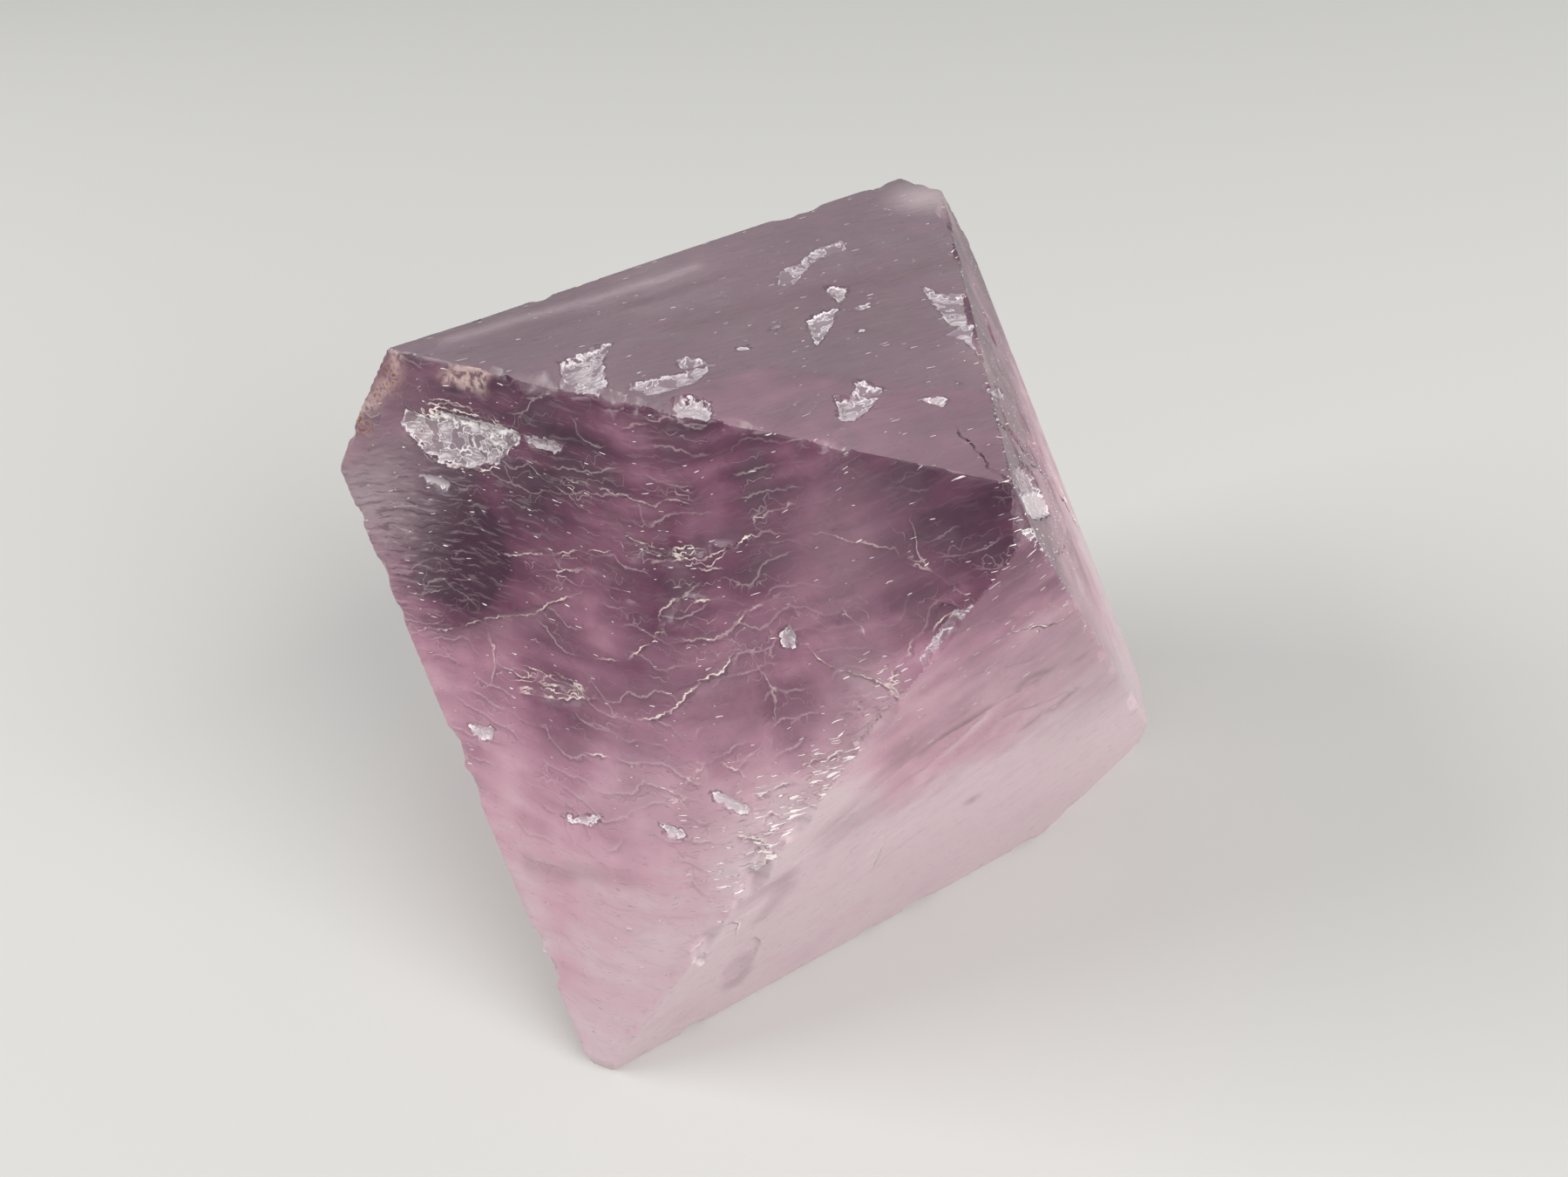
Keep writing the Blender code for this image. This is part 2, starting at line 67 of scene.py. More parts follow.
# ---------------------------------------------------------------------------
# Studio: a board of matt painted card under a pale sky, a broad lamp low on the
# right, where the crystal's overhanging side looks, and a weaker one high on the
# left. Both lamps are 40 cm squares turned to the middle of the crystal.
FLOOR_DROP = 0.00002         # keeps the board just clear of the face that rests on it
LAMP_SIZE = 0.40
LAMP_AIM = Vector((0, 0, 0.02))


def linear(code):
    """An sRGB hex colour as linear values."""
    parts = [int(code[i:i + 2], 16) / 255 for i in (1, 3, 5)]
    return tuple(p / 12.92 if p <= 0.04045 else ((p + 0.055) / 1.055) ** 2.4 for p in parts) + (1.0,)


bpy.ops.mesh.primitive_plane_add(size=4.0, location=(0, 0, -FLOOR_DROP))
floor = bpy.context.object
floor.name = "floor"
# painted card: light spreads evenly from it, with no gloss
board = bpy.data.materials.new("matt_board")
board.use_nodes = True
board_shader = board.node_tree.nodes["Principled BSDF"]
board_shader.inputs["Base Color"].default_value = linear("#CECECB")
board_shader.inputs["Roughness"].default_value = 0.9
floor.data.materials.append(board)
for name, place, watts in (("window", (0.46, -0.10, 0.29), 3.0), ("fill", (-0.42, -0.25, 0.36), 2.3)):
    bpy.ops.object.light_add(type="AREA", location=place)
    lamp = bpy.context.object
    lamp.name = name
    lamp.data.size = LAMP_SIZE
    lamp.data.energy = watts
    lamp.data.color = linear("#FFFDFB")[:3]
    lamp.rotation_euler = (LAMP_AIM - Vector(place)).to_track_quat("-Z", "Y").to_euler()
world = bpy.data.worlds.new("studio_air")
world.use_nodes = True
sky = world.node_tree.nodes["Background"]
sky.inputs["Color"].default_value = linear("#EFF0F2")
sky.inputs["Strength"].default_value = 0.50
bpy.context.scene.world = world
bpy.context.scene.view_settings.view_transform = "Standard"

# ---------------------------------------------------------------------------
# The crystal: one natural piece of amethyst, an uneven octahedron with broken and
# worn corners, with nothing added to it, lying loose on one of its faces. Its skin
# is a fine copy of the solid that also carries the crinkled steps and terraces.
MM = 0.001
GRID = 0.15 * MM             # cell of the fine mesh
TRIANGLES = 192000           # what the fine mesh is thinned to, most of it on the flats
HALF_RISE = 18.371           # mm from the face it lies on to the middle of the body
LEAN = 19.47                 # degrees that the side faces lean when one face is level
SAME_FACE = math.cos(math.radians(3))
body_centre = Vector((-0.429, 0.388, HALF_RISE)) * MM

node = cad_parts["amethyst_crystal"]
skin = bpy.data.objects.new("amethyst_skin", node.data.copy())
bpy.context.scene.collection.objects.link(skin)
bpy.ops.object.select_all(action="DESELECT")
bpy.context.view_layer.objects.active = skin
skin.select_set(True)
bpy.ops.object.mode_set(mode="EDIT")
bpy.ops.mesh.select_all(action="SELECT")
bpy.ops.mesh.remove_doubles(threshold=1e-6)
bpy.ops.object.mode_set(mode="OBJECT")


class Face:
    """One of the eight crystal faces, with two axes in it: u is level, v square to u."""

    def __init__(self, name, turn, tilt, grain):
        a, b = math.radians(turn), math.radians(tilt)
        ideal = Vector((math.cos(a) * math.cos(b), math.sin(a) * math.cos(b), math.sin(b)))
        self.name = name
        flats = [t for t in skin.data.polygons if t.normal.dot(ideal) > SAME_FACE]
        flat = max(flats, key=lambda t: t.area)
        self.normal = flat.normal.copy()
        self.offset = self.normal.dot(flat.center)
        level = abs(ideal.z) > 0.9
        self.u = Vector((1, 0, 0)) if level else Vector((0, 0, 1)).cross(ideal).normalized()
        self.v = self.normal.cross(self.u).normalized()
        middle = body_centre + ideal * (HALF_RISE * MM)
        self.origin = middle + self.normal * (self.offset - self.normal.dot(middle))
        self.grain = math.radians(grain)

    def at(self, u, v):
        """A place on the face, in mm."""
        return (self.origin + self.u * u * MM + self.v * v * MM) / MM


# name, compass turn and tilt of the normal, run of the fine streaks against u
faces = [Face("top", 0, 90, 52), Face("rest", 0, -90, 0), Face("main", -90, LEAN, 8),
         Face("narrow", 30, LEAN, -38), Face("back", 150, LEAN, 10),
         Face("skirt", -30, -LEAN, 22), Face("back_skirt", 90, -LEAN, 14),
         Face("left_skirt", 210, -LEAN, -16)]
number = {face.name: i for i, face in enumerate(faces)}
face_normals = np.array([f.normal for f in faces])
face_offsets = np.array([f.offset for f in faces]) / MM
face_origins = np.array([f.origin for f in faces]) / MM
face_us, face_vs = np.array([f.u for f in faces]), np.array([f.v for f in faces])

grid = skin.modifiers.new("fine_grid", "REMESH")
grid.mode = "VOXEL"
grid.voxel_size = GRID
bpy.ops.object.modifier_apply(modifier=grid.name)


def read(items, key, width=1, kind=np.float32):
    """One property of all vertices, polygons or corners as an array."""
    values = np.empty(len(items) * width, kind)
    items.foreach_get(key, values)
    return values.reshape(-1, width) if width > 1 else values


def nearest_face(points):
    """Number of the face that a point is under, its depth and the next face's."""
    out = points @ face_normals.T - face_offsets
    order = np.argsort(-out, axis=1)
    rows = np.arange(len(points))
    return order[:, 0], -out[rows, order[:, 0]], -out[rows, order[:, 1]]


def on_face(points, near):
    """u and v of points in the frame of their face."""
    away = points - face_origins[near]
    return (away * face_us[near]).sum(1), (away * face_vs[near]).sum(1)


def field(points, scale, seed, octaves=3):
    """Smooth noise at a wavelength in mm, about -1 to 1."""
    shift = Vector((seed * 17.13, seed * 5.71, seed * 9.37))
    return np.array([noise.fractal(Vector(p) / scale + shift, 0.9, 2.1, octaves) for p in points])


LINE_END = 0.8               # mm over which a line fades out at each end


def to_path(u, v, path):
    """Distance to a path, the side (left positive) and how near its ends are."""
    best = np.full(len(u), 1e9)
    side, share = np.zeros(len(u)), np.zeros(len(u))
    total = sum(math.dist(a, b) for a, b in zip(path, path[1:]))
    done = 0.0
    for (ax, ay), (bx, by) in zip(path, path[1:]):
        length = math.dist((ax, ay), (bx, by))
        dx, dy = (bx - ax) / length, (by - ay) / length
        t = np.clip((u - ax) * dx + (v - ay) * dy, 0, length)
        ox, oy = u - ax - dx * t, v - ay - dy * t
        dist = np.hypot(ox, oy)
        closer = dist < best
        best = np.where(closer, dist, best)
        side = np.where(closer, np.where(dx * oy - dy * ox > 0, 1.0, -1.0), side)
        share = np.where(closer, (done + t) / total, share)
        done += length
    return best, side, np.clip(np.minimum(share, 1 - share) * total / LINE_END, 0, 1)


def inside(u, v, outline):
    """Distance to an outline, positive inside it."""
    dist, _, _ = to_path(u, v, outline + outline[:1])
    odd = np.zeros(len(u), bool)
    for (ax, ay), (bx, by) in zip(outline, outline[1:] + outline[:1]):
        if ay != by:
            odd ^= ((ay > v) != (by > v)) & (u < (bx - ax) * (v - ay) / (by - ay) + ax)
    return np.where(odd, dist, -dist)


# crinkled step lines: face, path, drop in mm, strength of the pale broken edge and of the painted shadow
# below it;
# a strength below zero makes a dark crack
STEPS = [
    ("main", [(-16.4, -1.5), (-12.8, -0.6), (-9.1, 1.0), (-6.2, 1.7), (-4.8, 3.0), (-2.5, 4.1)], 0.09, 0.9),
    ("main", [(-8.4, 5.2), (-5.3, 5.6), (-3.0, 6.3), (-0.4, 6.8)], 0.06, 0.7),
    ("main", [(-6.1, 4.6), (-3.0, 5.2), (-2.0, 5.7)], 0.05, 0.7),
    ("main", [(-7.2, 10.9), (-4.7, 9.6), (-2.3, 8.7), (-1.0, 8.6)], 0.07, 0.6),
    ("main", [(-0.9, 8.7), (0.5, 7.6), (3.2, 7.3), (4.9, 7.6), (6.4, 8.4), (8.5, 9.7)], 0.13, 1.0),
    ("main", [(1.9, 6.7), (3.2, 7.0), (4.3, 7.5)], 0.12, 1.0),
    ("main", [(2.4, 7.9), (3.4, 7.7), (4.2, 8.2), (5.3, 8.2)], 0.08, 0.9),
    ("main", [(4.9, 7.1), (5.6, 7.4), (6.5, 7.6)], 0.08, 1.0),
    ("main", [(8.0, 9.8), (8.0, 10.4), (9.8, 11.3), (10.4, 11.5)], 0.08, 0.8),
    ("main", [(9.0, 9.4), (10.0, 9.6), (12.0, 9.7)], 0.05, 0.5),
    ("main", [(2.6, 3.8), (2.6, 4.4), (3.5, 5.1), (5.7, 5.6), (6.7, 6.4)], 0.12, 0.9),
    ("main", [(0.8, 1.1), (1.4, 1.8), (3.0, 3.4)], 0.14, 1.0),
    ("main", [(-1.4, 0.5), (0.2, 1.0)], 0.08, 0.8),
    ("main", [(-6.9, -1.3), (-4.9, -1.6), (-3.4, -1.2), (-1.9, -1.7)], 0.14, 1.0),
    ("main", [(-7.4, -2.8), (-6.2, -2.7), (-4.2, -2.8)], 0.10, 0.9),
    ("main", [(-8.6, -1.8), (-6.9, -2.1), (-5.6, -1.8)], 0.08, 0.8),
    ("main", [(-4.1, -1.0), (-2.8, -1.3), (-1.6, -1.2)], 0.10, 0.9),
    ("main", [(-9.1, -3.4), (-8.7, -2.2), (-8.9, -0.6), (-9.6, 0.8)], 0.06, 0.5),
    ("main", [(1.4, -2.3), (3.5, -1.1), (5.3, 1.3), (6.5, 2.1), (7.2, 3.4), (8.0, 3.6)], 0.10, 1.0),
    ("main", [(8.5, 3.0), (9.4, 1.9), (10.1, 0.0), (9.6, -2.2)], 0.03, 0.35),
    ("main", [(13.1, 7.3), (14.1, 6.6), (14.6, 5.8)], 0.08, 0.8),
    ("main", [(13.1, 7.3), (13.8, 7.9), (14.6, 7.8)], 0.08, 0.8),
    ("main", [(16.1, 10.1), (17.2, 10.0), (19.0, 9.2)], 0.03, 0.5),
    ("main", [(13.1, 3.7), (15.4, 3.7), (16.8, 2.9), (17.1, 2.3)], 0.12, 1.0),
    ("main", [(15.9, 3.2), (16.0, 4.3), (16.8, 5.5), (16.8, 6.4)], 0.10, 0.8),
    ("main", [(14.5, 1.1), (15.6, 1.7), (17.0, 2.4)], 0.10, 0.9),
    ("main", [(17.0, 2.2), (15.3, -0.4), (14.4, -1.4)], 0.10, 1.0),
    ("main", [(11.2, -2.2), (13.0, -1.1), (14.1, -0.3)], 0.12, 1.0),
    ("main", [(9.0, -4.6), (10.9, -3.3), (12.1, -2.6)], 0.12, 1.0),
    ("main", [(3.6, -6.9), (4.5, -5.2), (6.3, -3.1)], 0.08, 0.7),
    ("main", [(-2.2, -5.3), (-0.1, -5.0)], 0.07, 1.0),
    ("main", [(2.9, -6.3), (4.9, -5.8)], 0.06, 0.8),
    ("main", [(7.9, -7.0), (10.3, -6.3), (10.7, -6.7)], 0.08, 0.9),
    ("main", [(9.6, -5.6), (10.3, -5.0), (11.1, -5.1)], 0.10, 0.9),
    ("main", [(6.9, -3.2), (7.7, -3.2), (8.9, -3.6)], 0.04, 0.6),
    ("main", [(-16.6, 1.0), (-14.4, 1.3), (-12.0, 2.3)], 0.05, 0.5),
    ("main", [(-4.5, 10.2), (-1.2, 10.1), (1.8, 9.8), (2.5, 10.3), (4.5, 10.7)], 0.06, 0.5),
    ("main", [(-0.3, 13.4), (1.3, 14.0), (2.9, 13.6)], 0.05, 0.5),
    ("main", [(2.1, 11.6), (3.4, 11.1), (4.2, 11.3)], 0.04, 0.5),
    ("main", [(-14.2, 9.9), (-13.4, 9.4), (-12.2, 9.4), (-11.4, 9.4), (-11.0, 9.9), (-9.8, 9.7),
              (-9.0, 9.9), (-8.4, 10.5), (-8.3, 11.1), (-7.2, 11.6), (-7.2, 12.1), (-8.9, 12.0),
              (-9.7, 11.4), (-9.9, 10.7)], 0.02, 1.3),
    ("main", [(-11.0, 11.6), (-10.9, 11.2), (-11.0, 10.8), (-10.6, 10.4), (-10.8, 9.9)], 0.02, 1.2),
    ("main", [(-9.8, 11.3), (-9.2, 11.2), (-8.4, 11.4)], 0.02, 1.2),
    ("main", [(-15.5, 11.7), (-13.0, 11.8), (-11.1, 11.7), (-8.9, 12.0), (-7.2, 12.0)], 0.03, 1.3),
    ("main", [(-14.7, 11.9), (-12.6, 12.2), (-9.8, 12.5), (-8.0, 12.4)], 0.03, 1.1),
    ("main", [(-13.9, 12.6), (-11.1, 12.8), (-8.9, 12.8)], 0.02, 0.8),
    ("main", [(16.3, 12.4), (16.8, 10.6), (17.9, 9.6), (19.2, 9.0), (20.5, 8.8)], 0.02, 0.4),
    ("main", [(11.0, 10.3), (12.6, 10.5), (14.2, 10.5), (16.0, 10.5)], 0.02, 0.4),
    ("main", [(8.4, 3.2), (8.9, 2.5), (9.7, 1.7), (9.9, 0.4), (9.2, -1.5), (8.1, -2.9)], 0.03, 0.5),
    ("main", [(10.0, 4.7), (11.5, 4.7), (12.7, 3.8), (13.5, 3.7), (15.9, 3.7), (16.8, 3.1)], 0.08, 0.9),
    ("main", [(2.9, 2.9), (5.7, 3.5), (7.1, 4.2), (7.9, 5.4), (9.0, 6.2), (10.1, 7.1)], 0.05, 0.6),
    ("main", [(-5.8, -2.3), (-3.6, -1.9), (-2.3, -1.3), (-1.6, -1.6)], 0.06, 0.9),
    ("main", [(-7.2, -3.0), (-5.4, -3.0), (-2.9, -2.1), (-0.5, -1.6)], 0.05, 0.9),
    ("main", [(17.7, 4.5), (18.4, 5.9), (19.2, 6.8), (19.9, 7.7), (19.9, 8.7)], 0.06, 1.0),
    ("main", [(17.7, 6.7), (18.4, 7.5), (19.0, 7.8), (19.6, 7.9)], 0.05, 1.0),
    ("main", [(14.3, -1.3), (15.2, 0.3), (15.9, 1.3), (16.9, 2.1)], 0.08, 1.1),
    ("main", [(7.6, -7.2), (9.5, -6.7), (10.8, -6.5)], 0.05, 0.9),
    ("main", [(5.2, -4.4), (4.5, -5.2), (4.2, -6.2), (3.7, -6.7)], 0.06, 1.0),
    ("skirt", [(-0.3, 17.5), (2.4, 16.8), (3.6, 16.0), (4.8, 15.8), (6.2, 16.7)], 0.07, 1.8),
    ("skirt", [(2.1, 14.6), (3.0, 15.6)], 0.06, -0.7),
    ("skirt", [(3.4, 19.3), (4.2, 19.2), (5.1, 19.5)], 0.06, 1.6),
    ("skirt", [(-0.3, 14.8), (0.7, 14.8), (1.5, 14.9)], 0.04, 0.6),
    ("skirt", [(2.3, 20.7), (2.5, 19.7)], 0.05, -1.2),
    ("skirt", [(-15.1, 0.7), (-13.6, -0.6), (-13.3, -3.4), (-12.4, -3.2)], 0.04, 0.9),
    ("skirt", [(-7.1, -0.5), (-6.1, 1.2), (-5.3, 1.6)], 0.03, -0.5),
    ("skirt", [(-4.7, -4.5), (-4.2, -1.8), (-3.9, 0.6)], 0.03, 0.5),
    ("main", [(8.1, -11.5), (9.3, -9.0), (10.6, -6.7)], 0.05, 1.1),
    ("main", [(5.7, -15.1), (6.4, -13.9), (7.1, -12.9)], 0.03, 0.7),
    ("narrow", [(-17.6, 7.5), (-8.0, 1.3)], 0.05, -1.0),
    ("skirt", [(-2.6, 6.7), (-1.2, 7.8), (0.6, 8.5), (1.9, 9.9), (4.9, 10.7)], 0.10, 1.0),
    ("skirt", [(-5.1, -3.9), (-3.2, -2.3), (-0.7, -0.9)], 0.08, 0.25),
    ("narrow", [(-12.7, 12.4), (-7.4, 8.3), (-3.7, 5.3), (-3.5, 3.6)], 0.10, 0.5),
    ("narrow", [(3.0, 2.0), (6.2, -3.4), (8.4, -9.5)], 0.12, 0.8),
    ("narrow", [(-15.6, 15.0), (-12.7, 12.6), (-9.5, 9.9), (-7.3, 7.7), (-5.0, 5.7)], 0.08, -1.1),
    ("narrow", [(-7.5, 7.1), (-3.7, 3.7), (-1.8, 1.8)], 0.06, -1.1),
    ("narrow", [(4.4, -1.8), (3.4, -2.1), (4.4, -4.3), (7.1, -7.4), (6.5, -8.8)], 0.08, -1.2),
    ("top", [(16.0, -7.4), (17.0, -8.5), (18.2, -9.5), (19.5, -10.9), (20.9, -11.5)], 0.05, -1.1),
    ("top", [(14.4, -4.0), (15.2, -4.4), (15.6, -4.0)], 0.04, -0.8),
]
# frosted scars, the same outlines as in the solid: face, outline, whiteness
SCARS = [
    ("main", [(-15.9, 11.1), (-15.3, 12.0), (-13.9, 11.7), (-12.7, 12.3), (-9.4, 12.2), (-7.3, 12.1),
              (-7.0, 11.7), (-8.1, 10.8), (-8.7, 10.1), (-10.2, 9.7), (-10.9, 9.4), (-12.9, 9.4),
              (-14.4, 10.1)], 0.65),
    ("main", [(-7.2, 11.9), (-6.0, 11.5), (-4.4, 11.4), (-4.1, 11.9), (-5.2, 12.1)], 0.35),
    ("main", [(-14.5, 8.5), (-12.7, 8.5), (-11.9, 8.3), (-12.4, 7.9), (-14.0, 8.1)], 0.9),
    ("main", [(-10.7, -6.0), (-8.7, -5.7), (-8.9, -6.5), (-10.0, -6.8)], 1.0),
    ("main", [(6.3, -4.9), (7.1, -4.8), (8.9, -5.0), (8.7, -5.5), (7.8, -5.7), (6.8, -5.4)], 1.0),
    ("main", [(3.2, -7.9), (4.9, -7.8), (5.0, -8.2), (3.8, -8.5)], 1.0),
    ("main", [(-3.6, -9.7), (-2.1, -9.3), (-0.7, -8.7), (-1.3, -9.5), (-2.8, -9.9)], 0.9),
    ("main", [(9.8, 5.0), (10.3, 5.4), (10.8, 5.0), (10.7, 4.4), (10.1, 4.3)], 0.9),
    ("main", [(17.5, 5.6), (18.8, 8.2), (19.8, 8.7), (19.9, 8.1), (18.7, 6.2), (18.0, 4.5)], 0.35),
    ("main", [(9.0, -9.2), (9.3, -8.4), (9.7, -8.5), (9.4, -9.1)], 1.0),
    ("top", [(-6.1, -9.0), (-5.5, -8.1), (-5.4, -7.1), (-4.6, -6.2), (-3.9, -8.2), (-2.0, -10.4),
             (-2.1, -11.6), (-4.1, -12.4), (-5.0, -10.2)], 0.7),
    ("top", [(-0.8, -10.3), (-0.8, -9.6), (0.2, -8.8), (1.6, -7.2), (2.2, -6.6), (2.3, -8.6),
             (1.5, -9.7), (0.7, -10.5)], 0.5),
    ("top", [(2.2, -10.3), (2.8, -9.8), (4.1, -10.1), (4.8, -11.1), (5.3, -12.3), (3.0, -11.9)], 1.0),
    ("top", [(-0.1, -6.7), (0.4, -6.2), (1.8, -6.5), (1.3, -7.3), (0.7, -7.5)], 0.7),
    ("top", [(4.4, -0.4), (4.6, 0.6), (5.3, 1.3), (5.9, -0.3), (6.4, -3.0), (5.8, -2.2), (5.2, -1.6)], 0.8),
    ("top", [(3.3, 3.5), (3.6, 3.8), (4.7, 3.8), (5.2, 1.9), (4.1, 2.8)], 0.7),
    ("top", [(-0.2, 4.3), (0.3, 6.3), (0.3, 8.1), (1.2, 9.8), (2.1, 8.4), (1.4, 7.9), (1.0, 6.2),
             (1.4, 3.2), (0.6, 3.0)], 0.55),
    ("top", [(10.0, -5.5), (11.7, -6.0), (11.8, -6.6), (10.7, -7.3), (10.5, -6.4)], 0.7),
    ("top", [(9.7, -7.3), (10.6, -7.2), (11.9, -6.9), (12.0, -7.9), (11.7, -9.3), (11.2, -9.4),
             (10.4, -8.2)], 0.75),
    ("top", [(13.9, -6.3), (14.6, -5.6), (15.2, -6.0), (15.2, -6.6)], 1.0),
    ("top", [(8.6, 5.2), (10.0, 4.7), (11.7, 5.3), (12.4, 5.0), (13.6, 2.8), (12.8, 1.6),
             (12.1, 1.4), (10.4, 3.2)], 0.6),
    ("top", [(12.3, 0.3), (12.8, 1.8), (14.6, 1.6), (16.2, -0.9), (15.2, -1.5), (13.4, 0.1)], 0.65),
    ("top", [(2.4, -4.7), (2.9, -4.1), (3.0, -4.5), (2.7, -4.9)], 0.9),
    ("top", [(2.9, -2.2), (3.2, -0.9), (3.4, -1.2), (3.2, -2.3)], 0.6),
    ("top", [(6.1, 1.4), (6.7, 2.5), (7.0, 2.0), (6.5, 1.4)], 0.6),
    ("top", [(7.5, -1.0), (7.9, -0.3), (8.1, -0.7)], 0.6),
    ("skirt", [(-16.6, -1.6), (-16.0, -0.9), (-15.4, -3.2), (-15.8, -4.0)], 0.3),
    ("narrow", [(-12.2, 14.6), (-6.0, 10.9), (-5.6, 10.0), (-11.7, 13.7)], 0.45),
    ("narrow", [(-18.4, 13.6), (-12.1, 9.8), (-8.7, 7.0), (-9.0, 5.9), (-14.7, 9.6), (-18.7, 12.6)], 0.4),
    ("narrow", [(-19.4, 13.2), (-14.7, 9.8), (-9.0, 5.9), (-8.7, 4.0), (-16.0, 9.0), (-20.0, 12.2)], 1.0),
    ("narrow", [(-22.9, 13.9), (-20.3, 11.6), (-20.7, 11.3), (-23.4, 13.3)], 0.6),
]


# sideways wander of the step lines: size and wavelength in mm, short on long
SHORT_WANDER, SHORT_WAVE = 0.16, 0.9
LONG_WANDER, LONG_WAVE = 0.35, 4.5


def crinkle(points):
    """Sideways wander at each point, in mm along u and v."""
    return [SHORT_WANDER * field(points, SHORT_WAVE, seed)
            + LONG_WANDER * field(points, LONG_WAVE, seed + 1, 2) for seed in (1, 3)]


# how far the fine lines of the main face climb, in mm, from left to right across it
CLIMB_U = [-20, -16, -10, -5, 0, 4, 8, 14, 22]
CLIMB_V = [0.0, 0.9, 1.7, 1.2, 0.6, 1.3, 3.1, 6.5, 11.5]
# growth terraces: how many to a mm across the lines, how many of them a wall wanders
# over and at what wavelength in mm, and their height in mm
TERRACE_COUNT = 0.70
TERRACE_WANDER, TERRACE_WAVE = 1.3, 6.0
TERRACE_HEIGHT = 0.04


def lie(near, u, v):
    """Places measured along and across the fine lines of each face, in mm."""
    turn = np.array([f.grain for f in faces])[near]
    main = near == number["main"]
    climb = np.interp(u, CLIMB_U, CLIMB_V)
    return (np.where(main, u, u * np.cos(turn) + v * np.sin(turn)),
            np.where(main, v - climb, v * np.cos(turn) - u * np.sin(turn)))


def terraces(points, near, u, v):
    """Height count of the growth terraces; a low wall stands at every whole number."""
    return TERRACE_COUNT * lie(near, u, v)[1] + TERRACE_WANDER * field(points, TERRACE_WAVE, 6, 3)


# relief on the skin, all in mm; the share of terraces differs from face to face
FLAT_DEPTH, EDGE = 0.035, 0.25       # what counts as level ground, and as clear of a ridge
STEP_REACH, STEP_SHARE = 1.6, 0.8    # a step slopes back to its face over this reach
GROOVE_DEPTH, GROOVE = 0.02, 0.12    # the fine groove along a step's line
BREAK_RELIEF, BREAK_WAVE = 0.06, 0.6
SKIN_RELIEF, SKIN_WAVE = 0.012, 0.45
TERRACE_COVER = {"main": 0.8, "skirt": 0.35, "top": 0.2, "narrow": 0.5, "back": 0.7,
                 "back_skirt": 0.5, "left_skirt": 0.7, "rest": 0.0}

points = read(skin.data.vertices, "co", 3).astype(float) / MM
near, depth, gap = nearest_face(points)
u, v = on_face(points, near)
wander_u, wander_v = crinkle(points)
flat = (np.abs(depth) < FLAT_DEPTH) & (gap > EDGE)
drop = np.where(flat, -depth, 0.0)
for name, path, step, _ in STEPS:
    rows = np.flatnonzero((near == number[name]) & (gap > 0.1))
    dist, side, ends = to_path(u[rows] + wander_u[rows], v[rows] + wander_v[rows], path)
    feather = np.where(side < 0, np.clip(1 - dist / STEP_REACH, 0, 1), 0.0)
    drop[rows] += ends * (STEP_SHARE * step * feather + GROOVE_DEPTH * np.exp(-(dist / GROOVE) ** 2))
cover = np.array([TERRACE_COVER[f.name] for f in faces])[near]
stairs = terraces(points, near, u, v)
drop += TERRACE_HEIGHT * (stairs - np.floor(stairs)) * cover * np.clip(gap / 0.6, 0, 1)
broken = np.clip((depth - 0.08) / 0.1, 0, 1)
drop += broken * BREAK_RELIEF * np.clip(field(points, BREAK_WAVE, 8, 3) + 0.4, 0, 1)
drop += SKIN_RELIEF * np.clip(field(points, SKIN_WAVE, 9, 2), -1, 1) * (near != number["rest"])
points -= face_normals[near] * drop[:, None]
skin.data.vertices.foreach_set("co", (points * MM).astype(np.float32).ravel())
skin.data.update()

triangles = sum(len(p.vertices) - 2 for p in skin.data.polygons)
thin = skin.modifiers.new("thin_flats", "DECIMATE")
thin.ratio = min(1.0, TRIANGLES / triangles)
bpy.ops.object.modifier_apply(modifier=thin.name)
bpy.ops.object.shade_smooth_by_angle(angle=math.radians(30))

# what the stone's colour needs, at every corner of every triangle
NUDGE = 0.12                 # mm between the two places that give a terrace's slope
FAR = 3.0                    # mm that stands for no line and no scar nearby
CLOUD_WAVE, WISP_WAVE, LUMP_WAVE = 9.0, 2.6, 1.3     # mm, of the large and small clouds
STREAK_ALONG, STREAK_ACROSS = 0.16, 1.1              # waves per mm of the fine streaks
RIDGE_WIDTH = 0.35
vertices = read(skin.data.vertices, "co", 3).astype(float) / MM
at_vertex = read(skin.data.loops, "vertex_index", 1, np.int32)
counts = read(skin.data.polygons, "loop_total", 1, np.int32)
near, deep, _ = nearest_face(read(skin.data.polygons, "center", 3).astype(float) / MM)
near, deep = np.repeat(near, counts), np.repeat(deep, counts)
points = vertices[at_vertex]
u, v = on_face(points, near)
wander_u, wander_v = (w[at_vertex] for w in crinkle(vertices))
cloud = field(vertices, CLOUD_WAVE, 11, 4)[at_vertex]
lump = np.clip(1.8 * field(vertices, LUMP_WAVE, 13, 2) + 0.6, 0.1, 1)[at_vertex]
wisp = field(vertices, WISP_WAVE, 12, 3)[at_vertex]
over, _, gap = nearest_face(vertices)
ridge = np.exp(-(gap / RIDGE_WIDTH) ** 2)[at_vertex]
over_u, over_v = on_face(vertices, over)
along, across = lie(over, over_u, over_v)
layers = np.stack([along * STREAK_ALONG, across * STREAK_ACROSS, over * 7.0], 1)
streak = field(layers, 1.0, 14, 3)[at_vertex]
stairs = terraces(vertices, over, over_u, over_v)
right = terraces(vertices + face_us[over] * NUDGE, over, over_u + NUDGE, over_v) - stairs
up = terraces(vertices + face_vs[over] * NUDGE, over, over_u, over_v + NUDGE) - stairs
wall = ((stairs - np.round(stairs)) / (np.hypot(right, up) / NUDGE + 0.15))[at_vertex]
